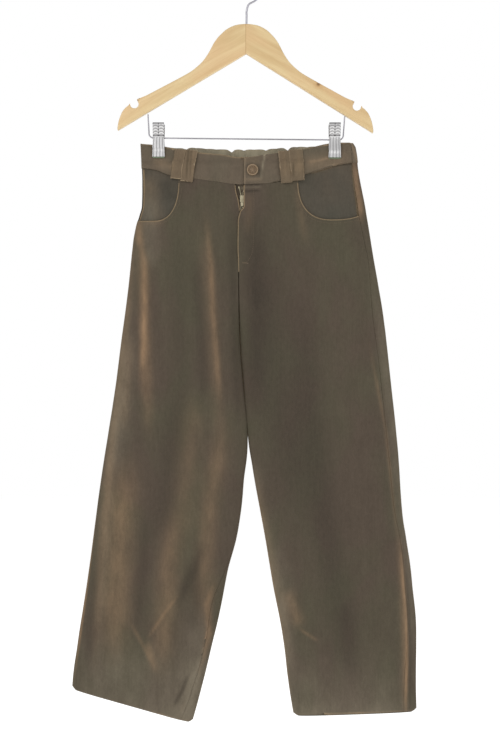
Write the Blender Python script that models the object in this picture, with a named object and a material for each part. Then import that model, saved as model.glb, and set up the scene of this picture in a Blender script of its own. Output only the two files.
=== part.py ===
"""Wide-leg velvet trousers hanging from a wooden clip hanger.

Sizes are in millimetres and become metres when a mesh or a curve is made. +Z is up and the front faces -Y.
The origin is where the hanger hangs: the inside of the top of its hook. Left and right are the wearer's, so
the right leg is at -X. A cloth wall's outer face lies on one skin, worked out from the tables below, and its
thickness goes inwards.
"""

import math
from collections import namedtuple

import bmesh
import bpy
import numpy as np
from mathutils import Matrix, Vector

MM = 0.001

# Cloth
CLOTH = 1.8
BAND_CLOTH = 2.6
BAND_PROUD = 0.8
SEAM_GAP = 0.35
LAY_GAP = 0.4
FACING_GAP = 1.3

# Legs and body. The outer fold, the side seam's distance from it, the front's and the back's edge at the
# centre or at the inner fold, and the inseam's distance from that fold.
Section = namedtuple("Section", "z outer side_inset front_inner back_inner inseam_inset")

RIGHT_SECTIONS = (
    Section(-280, -182.8, 0, -20.6, -2.4, 0),
    Section(-329, -180.8, 0, -20.6, -2.4, 0),
    Section(-360, -180.2, 0, -20.4, -2.4, 0),
    Section(-388, -180.6, 0, -15.0, -2.4, 0),
    Section(-410, -185.0, 0, -12.4, -2.4, 0),
    Section(-430, -191.0, 0, -11.6, -2.4, 0),
    Section(-470, -197.2, 0, -11.6, -3.9, 0),
    Section(-484, -198.7, 0, -14.9, -4.9, 0),
    Section(-505, -200.8, 0, -14.8, -6.5, 0),
    Section(-555, -206.5, 0, -14.4, -10.4, 0),
    Section(-625, -216.0, 0, -12.6, -12.6, 0),
    Section(-710, -227.0, 0, -7.8, -7.8, 0),
    Section(-787, -239.0, 0, -0.8, -0.8, 0),
    Section(-864, -251.0, 0, -5.2, -5.2, 0),
    Section(-942, -261.5, 0, -13.8, -13.8, 0),
    Section(-1019, -271.8, 0, -32.7, -32.7, 5),
    Section(-1083, -281.5, 0, -45.0, -45.0, 17),
    Section(-1148, -291.5, 0, -60.2, -60.2, 13),
    Section(-1225, -300.8, 0, -79.0, -79.0, 16),
    Section(-1285, -304.0, 0, -95.5, -95.5, 22),
)
LEFT_SECTIONS = (
    Section(-283, 180.0, 5, -4.6, -2.0, 0),
    Section(-297, 187.0, 7, -4.6, -2.0, 0),
    Section(-331, 191.2, 10, -4.6, -2.0, 0),
    Section(-397, 203.5, 14, -4.6, -2.0, 0),
    Section(-406, 204.9, 14.6, -11.0, -2.0, 0),
    Section(-430, 208.9, 13.5, -14.5, -2.0, 0),
    Section(-470, 215.3, 11.5, -15.0, -3.4, 0),
    Section(-484, 217.6, 11, -14.3, -4.3, 0),
    Section(-526, 225.0, 14.5, -13.6, -7.6, 0),
    Section(-606, 237.4, 19.5, -12.2, -11.4, 0),
    Section(-625, 239.6, 19, -11.6, -11.6, 0),
    Section(-684, 246.0, 18, -7.4, -7.4, 0),
    Section(-787, 257.0, 18, 1.2, 1.2, 0),
    Section(-838, 261.4, 17, 8.6, 8.6, 0),
    Section(-916, 266.6, 14, 22.4, 22.4, 0),
    Section(-964, 273.5, 11.5, 31.2, 31.2, 0),
    Section(-1045, 284.2, 13.5, 44.7, 44.7, 0),
    Section(-1148, 291.0, 17, 63.6, 63.6, 0),
    Section(-1200, 290.4, 21.5, 69.6, 69.6, 0),
    Section(-1290, 292.6, 24, 84.0, 84.0, 0),
)

# How far the front and the back stand from the middle plane
Depth = namedtuple("Depth", "z front back")
DEPTHS = (
    Depth(-280, 15, 10),
    Depth(-360, 19, 16),
    Depth(-430, 21, 26),
    Depth(-520, 21, 31),
    Depth(-625, 17, 26),
    Depth(-787, 15, 19),
    Depth(-942, 16, 18),
    Depth(-1097, 18, 20),
    Depth(-1225, 21, 23),
    Depth(-1290, 22, 24),
)
FOLD_POWER = 0.72
PINCHED_HALF = 2.05
POCKET_ROOM = 3.5
CROTCH_Z = -625
FRONT_CURVE = 85
BACK_CURVE = 115

# The height at which the panels' columns become even, and the rows' shares of the way from there to the hem
JOIN_Z = -470
LEG_ROWS = np.concatenate([(0, 0.02, 0.045, 0.08, 0.12, 0.16), np.linspace(0.2, 1, 18)])

# The waistband rows' shares of the way from the top edge to the seam
BAND_ROWS = np.array((0, 0.25, 0.55, 0.7, 0.85, 1))

# Waistband: its top edge and the seam under it, read across the body
BandEdge = namedtuple("BandEdge", "x top seam")
FRONT_BAND = (
    BandEdge(-186, -286.8, -328.4),
    BandEdge(-164, -288.5, -330.8),
    BandEdge(-132, -294.5, -342.0),
    BandEdge(-86, -303.2, -349.2),
    BandEdge(-5, -313.0, -358.6),
    BandEdge(30, -308.2, -358.0),
    BandEdge(57, -304.2, -354.0),
    BandEdge(100, -297.0, -342.5),
    BandEdge(150, -285.6, -325.6),
    BandEdge(172, -284.8, -320.6),
    BandEdge(182, -286.6, -319.6),
    BandEdge(196, -293.0, -318.4),
)
BACK_BAND = (
    BandEdge(-186, -286.8, -328.4),
    BandEdge(-140, -290.5, -333.0),
    BandEdge(-100, -295.0, -338.0),
    BandEdge(0, -298.2, -341.5),
    BandEdge(70, -295.6, -338.5),
    BandEdge(140, -287.5, -328.0),
    BandEdge(172, -285.6, -320.6),
    BandEdge(182, -286.6, -319.6),
    BandEdge(196, -293.0, -318.4),
)
UNDERLAP_END = 28
LAP_RISE = 3.3
LAP_FULL_X = 33
LAP_NONE_X = 72
LAP_LOW_Z = -506
LAP_HIGH_Z = -480

# Elastic gathers: the notches between the puffs of the back waistband
GATHER_NOTCHES = (
    -176, -163, -140, -124, -107, -86, -68, -50, -24, -2.2, 16, 37, 55, 74, 92, 111, 126, 141, 163, 178,
)
GATHER_RISE = 3.0
GATHER_PUFF = 4.0
GATHER_FADE = 95

# Soft folds: a ridge, or a trough where the rise is negative, from its top to its bottom
Fold = namedtuple("Fold", "leg face x_top z_top x_bottom z_bottom half_width rise")
FOLDS = (
    Fold("right", "front", -170, -440, -175, -700, 12, 3.0),
    Fold("right", "front", -66, -400, -38, -830, 15, 3.5),
    Fold("right", "front", -122, -520, -112, -860, 24, -3.0),
    Fold("right", "front", -222, -880, -222, -1150, 21, 3.0),
    Fold("right", "front", -140, -900, -142, -1090, 22, 3.5),
    Fold("right", "front", -94, -990, -96, -1060, 10, -3.5),
    Fold("right", "front", -117, -1057, -176, -1138, 9, -2.5),
    Fold("right", "front", -198, -1110, -156, -1186, 9, -2.5),
    Fold("right", "back", -110, -480, -130, -1000, 26, 3.0),
    Fold("right", "back", -160, -760, -190, -1250, 20, -3.0),
    Fold("right", "back", -66, -600, -104, -1180, 18, -2.5),
    Fold("left", "front", 78, -480, 120, -1000, 30, -2.5),
    Fold("left", "front", 150, -500, 196, -1240, 26, 2.5),
    Fold("left", "front", 34, -640, 96, -1120, 18, 2.0),
    Fold("left", "front", 72, -1062, 122, -1136, 9, 2.0),
    Fold("left", "back", 90, -520, 140, -1120, 24, 3.0),
    Fold("left", "back", 166, -640, 222, -1200, 22, -3.0),
    Fold("left", "back", 52, -700, 110, -1240, 16, -2.0),
)

# Hems: heights at the outer fold and at the inner fold, how much higher the front is and how much lower the back
Hem = namedtuple("Hem", "outer inner front_rise back_drop")
HEMS = {"right": Hem(-1220.2, -1278, -2, 2), "left": Hem(-1259.5, -1267, 2, 9.5)}
HEM_CORNER = 4
HEM_CORNER_WIDTH = 8

# Scoop pockets: where the edge leaves the waist seam, its lowest point, and its end on the side seam
Scoop = namedtuple("Scoop", "start_x start_z low_x low_z end_z facing_x")
SCOOPS = {
    "right": Scoop(-116.3, -346.0, -160, -421.7, -421.0, -98),
    "left": Scoop(86.2, -347.0, 145, -419.5, -412.3, 68),
}
SCOOP_POWER = 2.5
POCKET_DEEP = 18

# Belt loops: the middles of their two ends on the front waistband
Loop = namedtuple("Loop", "name top_x top_z bottom_x bottom_z width")
LOOPS = (
    Loop("belt_loop_right_side", -113.6, -297.2, -121.5, -345.3, 18.0),
    Loop("belt_loop_right_front", -94.0, -299.4, -101.2, -349.0, 18.5),
    Loop("belt_loop_left_front", 62.6, -301.4, 67.2, -356.5, 17.5),
    Loop("belt_loop_left_side", 83.4, -298.8, 87.4, -352.2, 20.0),
)
LOOP_CLOTH = 1.9
LOOP_STAND = 1.6

# Fastenings
BUTTON_X = 9.5
BUTTON_Z = -332.3
BUTTON_RADIUS = 10
ZIP_X = -8.3
ZIP_TOP_Z = -360.5
ZIP_CLOSED_Z = -379
ZIP_END_Z = -482
ZIP_RIGHT_TOP_X = -16.4
ZIP_LEFT_TOP_X = -1.2
TOOTH_HALF = 2.2
TAPE_WIDTH = 11
TAPE_CLOTH = 0.8
SLIDER_Z = -383
SLIDER_HALF_WIDTH = 3.4
SLIDER_HALF_HEIGHT = 5.5
SLIDER_PLATE = 1.6
SLIDER_CORE = 1.5
BAIL_TOP = 4.2
BAIL_BOTTOM = -3.2
BAIL_INSIDE = 1.9
BAIL_WIRE = 0.8
PULL_BAR_RADIUS = 0.45
PULL_WINDOW = 5.5
PULL_LENGTH = 11.6
PULL_WIDTH = 4.4
PULL_ARM = 1.0

# Hanger
HANGER_TILT = math.radians(0.6)
WOOD_HALF = 6
WOOD_EDGE = 1.6
HUMP_TOP_Z = -81
WoodEdge = namedtuple("WoodEdge", "x z")
WOOD_TOP = (
    WoodEdge(15.4, -82.5),
    WoodEdge(25.8, -86.0),
    WoodEdge(36.2, -92.2),
    WoodEdge(46.4, -102.0),
    WoodEdge(51.8, -108.6),
    WoodEdge(56.8, -116.4),
    WoodEdge(62.2, -127.0),
    WoodEdge(67.2, -135.6),
    WoodEdge(72.2, -142.9),
    WoodEdge(77.6, -149.2),
    WoodEdge(87.8, -158.5),
    WoodEdge(98.0, -165.8),
    WoodEdge(118.6, -177.5),
    WoodEdge(180.6, -211.0),
    WoodEdge(184.6, -213.4),
)
WOOD_TIP = (
    WoodEdge(201.0, -222.8),
    WoodEdge(206.6, -227.4),
    WoodEdge(212.0, -234.5),
    WoodEdge(217.3, -248.0),
    WoodEdge(219.8, -262.0),
    WoodEdge(219.0, -266.0),
)
NOTCH_X = 191.2
NOTCH_Z = -220.6
NOTCH_RADIUS = 7.3
APEX_Z = -132.0
HOOK_WIRE = 3.4
HOOK_RADIUS = 24.5
HOOK_FOOT_Z = -54
BAR_WIRE = 2.4
BAR_Z = -278.1
BAR_HALF = 168.5
BAR_CORNER = 8
BAR_TOP_Z = -237.4
ClipPlace = namedtuple("ClipPlace", "x bar_z top_z jaw_z")
CLIPS = {
    "right": ClipPlace(-151.9, -276.5, -251.6, -311.6),
    "left": ClipPlace(150.8, -279.7, -251.6, -312.8),
}
CLIP_HALF_WIDTH = 11
CLIP_SHEET = 1.2
CLIP_BAND_HALF = PINCHED_HALF + BAND_PROUD + 0.1
PAD_CLOTH = 1.6
PAD_HEIGHT = 9
SPRING_RADIUS = 4.4
SPRING_HALF_LENGTH = 7


def smooth_step(start, end, at):
    """0 before start, 1 past end and smooth between; end may be the smaller."""
    share = np.clip((np.asarray(at, float) - start) / (end - start), 0, 1)
    return share * share * (3 - 2 * share)


def curve_through(knots, values):
    """A function on cubic pieces through the knots that never overshoots its values."""
    order = np.argsort(knots)
    knots = np.asarray(knots, float)[order]
    values = np.asarray(values, float)[order]
    steps = np.diff(knots)
    slopes = np.diff(values) / steps
    tangents = np.concatenate([slopes[:1], np.zeros(len(values) - 2), slopes[-1:]])
    same_way = slopes[:-1] * slopes[1:] > 0
    inner = 2 * slopes[:-1] * slopes[1:] / np.where(same_way, slopes[:-1] + slopes[1:], 1)
    tangents[1:-1] = np.where(same_way, inner, 0)

    def value(at):
        at = np.clip(np.asarray(at, float), knots[0], knots[-1])
        piece = np.clip(np.searchsorted(knots, at) - 1, 0, len(steps) - 1)
        t = (at - knots[piece]) / steps[piece]
        start = values[piece] + t * steps[piece] * tangents[piece]
        end = values[piece + 1] - (1 - t) * steps[piece] * tangents[piece + 1]
        weight = t * t * (3 - 2 * t)
        return start + (end - start) * weight

    return value


def columns(rows):
    """One curve for each column of a table, read along its first column."""
    kind = type(rows[0])
    table = np.array(rows, float)
    return kind(*(curve_through(table[:, 0], table[:, i]) for i in range(len(kind._fields))))


LEGS = {"right": columns(RIGHT_SECTIONS), "left": columns(LEFT_SECTIONS)}
DEPTH = columns(DEPTHS)
BAND = {"front": columns(FRONT_BAND), "back": columns(BACK_BAND)}
OUTWARD = {"right": -1, "left": 1}


def pinch(x, z):
    """0 where a clip holds the waist shut, 1 where the cloth is free."""
    free_below = smooth_step(-318, -425, z)
    share = np.ones(np.broadcast(x, z).shape)
    for clip in CLIPS.values():
        beside = smooth_step(CLIP_HALF_WIDTH + 8, 66, np.abs(x - clip.x))
        share = share * (beside + (1 - beside) * free_below)
    return share


def puff(x):
    """0 at each notch of the gathered waist and 1 on the puff between two."""
    notches = np.array(GATHER_NOTCHES, float)
    gap = np.clip(np.searchsorted(notches, x) - 1, 0, len(notches) - 2)
    share = np.clip((x - notches[gap]) / (notches[gap + 1] - notches[gap]), 0, 1)
    return np.sin(np.pi * share)


def relief(leg, front, x, z):
    """How far the folds and gathers push the cloth out at a place."""
    rise = np.zeros(np.broadcast(x, z).shape)
    for fold in FOLDS:
        if fold.leg != leg:
            continue
        along = (fold.z_top - z) / (fold.z_top - fold.z_bottom)
        middle = fold.x_top + (fold.x_bottom - fold.x_top) * along
        ends = smooth_step(-0.12, 0.2, along) * smooth_step(1.12, 0.8, along)
        shape = np.exp(-(((x - middle) / fold.half_width) ** 2))
        rise = rise + fold.rise * ends * shape * (front == (fold.face == "front"))
    seam = BAND["back"].seam(x)
    gathers = GATHER_PUFF * puff(x) * smooth_step(seam - GATHER_FADE, seam, z) * pinch(x, z)
    return rise + np.where(front, 0, gathers)


def stand_off(leg, front, cosine, x, z):
    """How far the skin stands from the middle plane."""
    sine = np.sqrt(np.clip(1 - cosine * cosine, 0, 1))
    closed = np.where(
        front,
        smooth_step(CROTCH_Z + FRONT_CURVE, CROTCH_Z, z),
        smooth_step(CROTCH_Z + BACK_CURVE, CROTCH_Z, z),
    )
    leg_round = sine**FOLD_POWER
    body_round = np.where(cosine < 0, 1, leg_round)
    fullness = body_round + (leg_round - body_round) * closed
    depth = np.where(front, DEPTH.front(z), DEPTH.back(z)) * pinch(x, z)
    room = np.where(front, POCKET_ROOM * smooth_step(-315, -325, z), 0)
    shut = (PINCHED_HALF + room) * np.tanh(fullness / 0.25)
    return shut + (depth + relief(leg, front, x, z)) * fullness


def leg_skin(leg, angle, z):
    """Points of a leg's skin: the angle is 0 at the outer fold, pi at the inner one, negative in front."""
    front = np.sin(angle) < 0
    table = LEGS[leg]
    outer = table.outer(z)
    inner = np.where(front, table.front_inner(z), table.back_inner(z))
    cosine = np.cos(angle)
    x = outer + (inner - outer) * (1 - cosine) / 2
    y = stand_off(leg, front, cosine, x, z)
    return np.stack([x, np.where(front, -y, y), z + np.zeros_like(x)], axis=-1)


def body_skin(angle, z):
    """The same skin above the crotch, right round the body: 0 at the right fold, pi at the left, negative in front."""
    front = np.sin(angle) < 0
    right, left = LEGS["right"].outer(z), LEGS["left"].outer(z)
    x = right + (left - right) * (1 - np.cos(angle)) / 2
    sides = []
    for leg, outer in (("right", right), ("left", left)):
        inner = np.where(front, LEGS[leg].front_inner(z), LEGS[leg].back_inner(z))
        cosine = np.clip(1 - 2 * (x - outer) / (inner - outer), -1, 1)
        sides.append(stand_off(leg, front, cosine, x, z))
    y = np.where(x < ZIP_X, sides[0], sides[1])
    return np.stack([x, np.where(front, -y, y), z + np.zeros_like(x)], axis=-1)


def normals(skin, outward, angle, z, split):
    """Unit normals of a skin, which face out. Where it is split at the centre, no step crosses from front to back."""
    step = 0.012
    limit = np.where(split, math.pi - 1e-4, 10)
    turn = skin(np.clip(angle + step, -limit, limit), z) - skin(np.clip(angle - step, -limit, limit), z)
    rise = skin(angle, z + 0.5) - skin(angle, z - 0.5)
    normal = np.cross(turn, rise) * outward
    return normal / np.linalg.norm(normal, axis=-1, keepdims=True)


def body_angle(x, z, front=True):
    """The angle on body_skin of a place that is given by x."""
    right, left = LEGS["right"].outer(z), LEGS["left"].outer(z)
    angle = np.arccos(np.clip(1 - 2 * (x - right) / (left - right), -1, 1))
    return -angle if front else angle


def leg_angle(leg, x, z):
    """The angle on leg_skin of a place on the front that is given by x."""
    outer, inner = LEGS[leg].outer(z), LEGS[leg].front_inner(z)
    return -np.arccos(np.clip(1 - 2 * (x - outer) / (inner - outer), -1, 1))


def inset_angle(leg, inset, z):
    """The angle from a fold to a seam that lies at a distance from it."""
    table = LEGS[leg]
    width = np.abs(table.outer(z) - table.front_inner(z))
    return np.arccos(np.clip(1 - 2 * np.maximum(inset, 0) / width, -1, 1))


def gap_angle(leg, angle, z):
    """The angle that opens half a seam's gap at a seam."""
    step = 0.001
    moved = np.linalg.norm(leg_skin(leg, angle + step, z) - leg_skin(leg, angle, z), axis=-1)
    return np.minimum((SEAM_GAP / 2 + 0.05) * step / np.maximum(moved, 1e-6), 0.02)


def side_seam(leg, z):
    return -inset_angle(leg, LEGS[leg].side_inset(z), z)


def inseam(leg, z):
    """The angle at which the front panel starts, in front of the inner fold or on it."""
    return -math.pi + inset_angle(leg, LEGS[leg].inseam_inset(z), z)


def material(name, colour, roughness, metallic=0.0):
    made = bpy.data.materials.new(name)
    made.use_nodes = True
    shader = made.node_tree.nodes["Principled BSDF"]
    shader.inputs["Base Color"].default_value = (*colour, 1)
    shader.inputs["Roughness"].default_value = roughness
    shader.inputs["Metallic"].default_value = metallic
    made.diffuse_color = (*colour, 1)
    return made


def add_object(name, data, finish, parts, smooth=True):
    """Puts a mesh or a curve in the scene as one sub-part."""
    made = bpy.data.objects.new(name, data)
    parts.objects.link(made)
    data.materials.append(finish)
    if smooth and isinstance(data, bpy.types.Mesh):
        data.shade_smooth()
        data.set_sharp_from_angle(angle=math.radians(40))
    return made


def mesh_from(name, shape):
    """A mesh in metres from a bmesh in millimetres, its faces outwards."""
    bmesh.ops.recalc_face_normals(shape, faces=shape.faces)
    bmesh.ops.scale(shape, vec=(MM, MM, MM), verts=shape.verts)
    mesh = bpy.data.meshes.new(name)
    shape.to_mesh(mesh)
    shape.free()
    return mesh


def cloth_wall(name, outer, inner, finish, parts):
    """One closed wall between two grids of points, each of rows by columns by three."""
    rows, across = outer.shape[:2]
    shape = bmesh.new()
    bmesh.ops.create_grid(shape, x_segments=across - 1, y_segments=rows - 1, size=0.5)
    place = shape.verts.layers.int.new("place")
    for vertex in shape.verts:
        column = round((vertex.co.x + 0.5) * (across - 1))
        row = round((vertex.co.y + 0.5) * (rows - 1))
        vertex[place] = row * across + column
    backed = bmesh.ops.extrude_face_region(shape, geom=shape.faces[:], use_keep_orig=True)
    lining = {item for item in backed["geom"] if isinstance(item, bmesh.types.BMVert)}
    outer, inner = outer.reshape(-1, 3), inner.reshape(-1, 3)
    for vertex in shape.verts:
        points = inner if vertex in lining else outer
        vertex.co = points[vertex[place]]
    return add_object(name, mesh_from(name, shape), finish, parts)


def wall_on_skin(name, skin, outward, angle, z, finish, parts, thickness, lift=0.0, split=False):
    """A cloth wall on a grid of angles and heights: its outer face is the skin, lifted."""
    points = skin(angle, z)
    out = normals(skin, outward, angle, z, split)
    lift = np.broadcast_to(lift, angle.shape)[..., None]
    outer = points + out * lift
    return cloth_wall(name, outer, outer - out * thickness, finish, parts)


def scoop_edge(leg, drop_columns, side_columns):
    """The scoop pocket's edge as angles and heights: down from the waist seam, then across to the side seam."""
    scoop = SCOOPS[leg]
    turn = np.linspace(0, math.pi / 2, drop_columns + 1)[1:]
    x = scoop.start_x + (scoop.low_x - scoop.start_x) * (1 - np.cos(turn) ** (2 / SCOOP_POWER))
    z = scoop.start_z + (scoop.low_z - scoop.start_z) * np.sin(turn) ** (2 / SCOOP_POWER)
    low_angle = leg_angle(leg, scoop.low_x, scoop.low_z)
    rest = np.linspace(0, 1, side_columns + 1)[1:]
    angle = low_angle + (side_seam(leg, scoop.end_z) - low_angle) * rest
    rest_z = scoop.low_z + (scoop.end_z - scoop.low_z) * rest**2
    return np.concatenate([leg_angle(leg, x, z), angle]), np.concatenate([z, rest_z])


def lap(x, z):
    """How far the left front is lifted where it laps over the right front."""
    return LAP_RISE * smooth_step(LAP_NONE_X, LAP_FULL_X, x) * smooth_step(LAP_LOW_Z, LAP_HIGH_Z, z)


def hem_height(leg, angle):
    """The hem's height round a leg."""
    hem = HEMS[leg]
    across = (1 - np.cos(angle)) / 2
    width = abs(LEGS[leg].outer(hem.outer) - LEGS[leg].front_inner(hem.outer))
    corner = smooth_step(HEM_CORNER_WIDTH, 0, np.minimum(across, 1 - across) * width)
    swing = np.where(np.sin(angle) < 0, hem.front_rise, -hem.back_drop)
    middle = np.sqrt(np.abs(np.sin(angle)))
    return hem.outer + (hem.inner - hem.outer) * across + swing * middle + HEM_CORNER * corner


def front_panel(leg, finish, parts):
    """The front of one leg, cut away along the scoop pocket and lapped at the fly."""
    seam_columns, drop_columns, side_columns, top_rows = 7, 5, 5, 12
    scoop = SCOOPS[leg]
    # The top edge: along the waist seam from the centre, then down the scoop to the side seam.
    centre_x = LEGS[leg].front_inner(-359)
    seam_x = np.linspace(centre_x, scoop.start_x, seam_columns + 1)
    seam_z = BAND["front"].seam(seam_x) - SEAM_GAP
    scoop_angle, scoop_z = scoop_edge(leg, drop_columns, side_columns)
    top_angle = np.concatenate([leg_angle(leg, seam_x, seam_z), scoop_angle])
    top_z = np.concatenate([seam_z, scoop_z])
    start, end = inseam(leg, top_z), side_seam(leg, top_z)
    top_share = np.clip((top_angle - start) / (end - start), 0, 1)
    top_share[0], top_share[-1] = 0, 1
    even_share = np.linspace(0, 1, len(top_share))
    start, end = inseam(leg, HEMS[leg].inner), side_seam(leg, HEMS[leg].outer)
    hem_z = hem_height(leg, start + (end - start) * even_share)
    shares, heights = [], []
    for row in range(top_rows):
        down = row / top_rows
        shares.append(top_share + (even_share - top_share) * down)
        heights.append(top_z + (JOIN_Z - top_z) * down)
    for down in LEG_ROWS:
        shares.append(even_share)
        heights.append(JOIN_Z + (hem_z - JOIN_Z) * down)
    share, z = np.array(shares), np.array(heights)
    first, last = inseam(leg, z), side_seam(leg, z)
    first = first + gap_angle(leg, first, z)
    last = last - gap_angle(leg, last, z)
    angle = first + (last - first) * share
    skin = lambda turn, height: leg_skin(leg, turn, height)
    lift = lap(skin(angle, z)[..., 0], z) if leg == "left" else 0.0
    wall_on_skin(
        f"front_panel_{leg}", skin, OUTWARD[leg], angle, z, finish, parts, CLOTH, lift,
        split=z > CROTCH_Z,
    )


def back_panel(leg, finish, parts):
    """The back of one leg, from the gathered waist seam to the hem."""
    across, top_rows = 18, 6
    share = np.linspace(0, 1, across + 1)
    start_z = np.full(share.shape, BAND["back"].seam(LEGS[leg].outer(-330)))
    for _ in range(3):
        angle = side_seam(leg, start_z) * (1 - share) + math.pi * share
        start_z = BAND["back"].seam(leg_skin(leg, angle, start_z)[..., 0]) - 2 * SEAM_GAP
    start, end = side_seam(leg, HEMS[leg].outer), inseam(leg, HEMS[leg].inner) + 2 * math.pi
    end_z = hem_height(leg, start + (end - start) * share)
    above = start_z + (JOIN_Z - start_z) * (np.arange(top_rows) / top_rows)[:, None]
    below = JOIN_Z + (end_z - JOIN_Z) * LEG_ROWS[:, None]
    z = np.concatenate([above, below])
    first, last = side_seam(leg, z), inseam(leg, z) + 2 * math.pi
    first = first + gap_angle(leg, first, z)
    last = last - gap_angle(leg, last, z)
    angle = first + (last - first) * share
    wall_on_skin(
        f"back_panel_{leg}", lambda turn, height: leg_skin(leg, turn, height), OUTWARD[leg], angle, z,
        finish, parts, CLOTH, split=z > CROTCH_Z,
    )


def pocket_facing(leg, finish, parts):
    """The cloth that shows inside the scoop pocket, tucked behind the front panel."""
    across, rows = 9, 8
    scoop = SCOOPS[leg]
    start_z = scoop.start_z
    first = body_angle(scoop.facing_x, start_z)
    edge_x = LEGS[leg].outer(-375) - OUTWARD[leg] * (LEGS[leg].side_inset(-375) + 0.2)
    last = body_angle(edge_x, -375)
    share = np.linspace(0, 1, across + 1)
    angle = (first + (last - first) * share)[None, :] + np.zeros((rows + 1, 1))
    x = body_skin(angle, np.full_like(angle, -375))[..., 0]
    top_z = BAND["front"].seam(x) - SEAM_GAP
    # The hidden lower corner towards the centre is rounded off.
    reach = np.clip(np.abs(x - scoop.facing_x) / 45, 0, 1)
    low_z = scoop.low_z - POCKET_DEEP + 62 * (1 - np.sqrt(1 - (1 - reach) ** 2))
    z = top_z + (low_z - top_z) * np.linspace(0, 1, rows + 1)[:, None]
    edge = LEGS[leg].outer(z) - OUTWARD[leg] * (LEGS[leg].side_inset(z) + 0.2)
    last = body_angle(edge, z)
    angle = first + (last - first) * share
    wall_on_skin(
        f"pocket_facing_{leg}", body_skin, -1, angle, z, finish, parts, CLOTH, -CLOTH - FACING_GAP,
    )


def between_edges(face, angle):
    """Heights of a waistband's rows, from its top edge down to its seam."""
    edges = BAND[face]
    top = seam = np.full_like(angle, -310.0)
    for _ in range(4):
        top_x = body_skin(angle, top)[..., 0]
        top = edges.top(top_x)
        if face == "back":
            top = top + GATHER_RISE * puff(top_x) * pinch(top_x, -310.0)
        seam = edges.seam(body_skin(angle, seam)[..., 0])
    return top + (seam - top) * BAND_ROWS[:, None]


def front_band(leg, finish, parts):
    """One side of the front waistband. The left one laps over the right one at the button."""
    across = {"right": 22, "left": 20}[leg]
    side_x = LEGS[leg].outer(-306) - OUTWARD[leg] * LEGS[leg].side_inset(-306)
    centre_x = {"right": UNDERLAP_END, "left": LEGS["left"].front_inner(-330)}[leg]
    side_angle = body_angle(side_x, -306)
    share = np.linspace(0, 1, across + 1)
    angle = side_angle + (body_angle(centre_x, -306) - side_angle) * share
    z = between_edges("front", angle)
    edge = LEGS[leg].outer(z) - OUTWARD[leg] * (LEGS[leg].side_inset(z) + SEAM_GAP / 2 + 0.05)
    side_angle = body_angle(edge, z)
    angle = side_angle + (body_angle(centre_x, z) - side_angle) * share
    lift = BAND_PROUD
    if leg == "left":
        lift = BAND_PROUD + lap(body_skin(angle, z)[..., 0], z)
    wall_on_skin(
        f"waistband_front_{leg}", body_skin, -1, angle, z, finish, parts, BAND_CLOTH, lift,
    )


def back_band(finish, parts):
    """The back waistband, gathered on elastic, with a puff between each two notches."""
    middle_z = -315
    inside = [-183.5, -182.6, -180.5]
    for start, end in zip(GATHER_NOTCHES[:-1], GATHER_NOTCHES[1:]):
        inside += [start + (end - start) * share for share in (0, 0.2, 0.5, 0.8)]
    inside += [GATHER_NOTCHES[-1], 183, 186.5, 188.4]
    x = np.clip(np.array(inside), LEGS["right"].outer(middle_z) + 0.4, None)
    angle = body_angle(x, middle_z, front=False)
    start, end = 0.0, 2 * math.pi + body_angle(
        LEGS["left"].outer(middle_z) - LEGS["left"].side_inset(middle_z), middle_z
    )
    angle = np.concatenate([[start], angle, [math.pi, (math.pi + end) / 2, end]])
    angle = np.sort(angle)
    share = (angle - start) / (end - start)
    z = between_edges("back", angle)
    edge = LEGS["left"].outer(z) - LEGS["left"].side_inset(z) + SEAM_GAP / 2 + 0.05
    last = 2 * math.pi + body_angle(edge, z)
    first = 0.0015
    angle = first + (last - first) * share
    wall_on_skin("waistband_back", body_skin, -1, angle, z, finish, parts, BAND_CLOTH, BAND_PROUD)


def belt_loop(loop, finish, parts):
    """A folded strip that lies on the front waistband and stands off a little in the middle."""
    across, rows = 3, 8
    down = np.linspace(0, 1, rows + 1)[:, None]
    side = np.linspace(-0.5, 0.5, across + 1)[None, :] * loop.width
    slope = (loop.bottom_x - loop.top_x) / (loop.top_z - loop.bottom_z)
    x = loop.top_x + (loop.bottom_x - loop.top_x) * down + side
    z = loop.top_z + (loop.bottom_z - loop.top_z) * down + side * slope
    lift = BAND_PROUD + LAY_GAP + LOOP_CLOTH + LOOP_STAND * np.sin(math.pi * down) + 0 * side
    lift = lift + (lap(x, z) if loop.top_x > 0 else 0)
    wall_on_skin(loop.name, body_skin, -1, body_angle(x, z), z, finish, parts, LOOP_CLOTH, lift)


def zip_tape(leg, finish, parts):
    """A zip tape behind the edge of a front, open in a V above the slider."""
    rows = 10
    z = np.linspace(ZIP_TOP_Z, ZIP_END_Z, rows + 1)[:, None] + np.zeros((1, 3))
    open_share = smooth_step(ZIP_CLOSED_Z, ZIP_TOP_Z + 8, z)
    side = {"right": -1, "left": 1}[leg]
    top_x = {"right": ZIP_RIGHT_TOP_X, "left": ZIP_LEFT_TOP_X}[leg]
    closed_x = ZIP_X + side * TOOTH_HALF
    away = np.array([0, 0.5, 1])[None, :]
    x = closed_x + (top_x - closed_x) * open_share + side * TAPE_WIDTH * away
    lift = -CLOTH - LAY_GAP
    if leg == "left":
        lift = lift + away**2 * lap(x, z) * 0.6
    wall_on_skin(
        f"zip_tape_{leg}", body_skin, -1, body_angle(x, z), z, finish, parts, TAPE_CLOTH, lift,
    )


def skin_place(x, z, lift):
    """The matrix of a place on the front skin: its z axis points out of the cloth and its y axis up."""
    point = body_skin(body_angle(x, z), z)
    out = normals(body_skin, -1, body_angle(x, z), z, False)
    outward = Vector(out.tolist())
    across = Vector((0, 0, 1)).cross(outward).normalized()
    up = outward.cross(across)
    turned = Matrix((across, up, outward)).transposed().to_4x4()
    spot = Vector((point + out * lift).tolist()) * MM
    return Matrix.Translation(spot) @ turned


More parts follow.
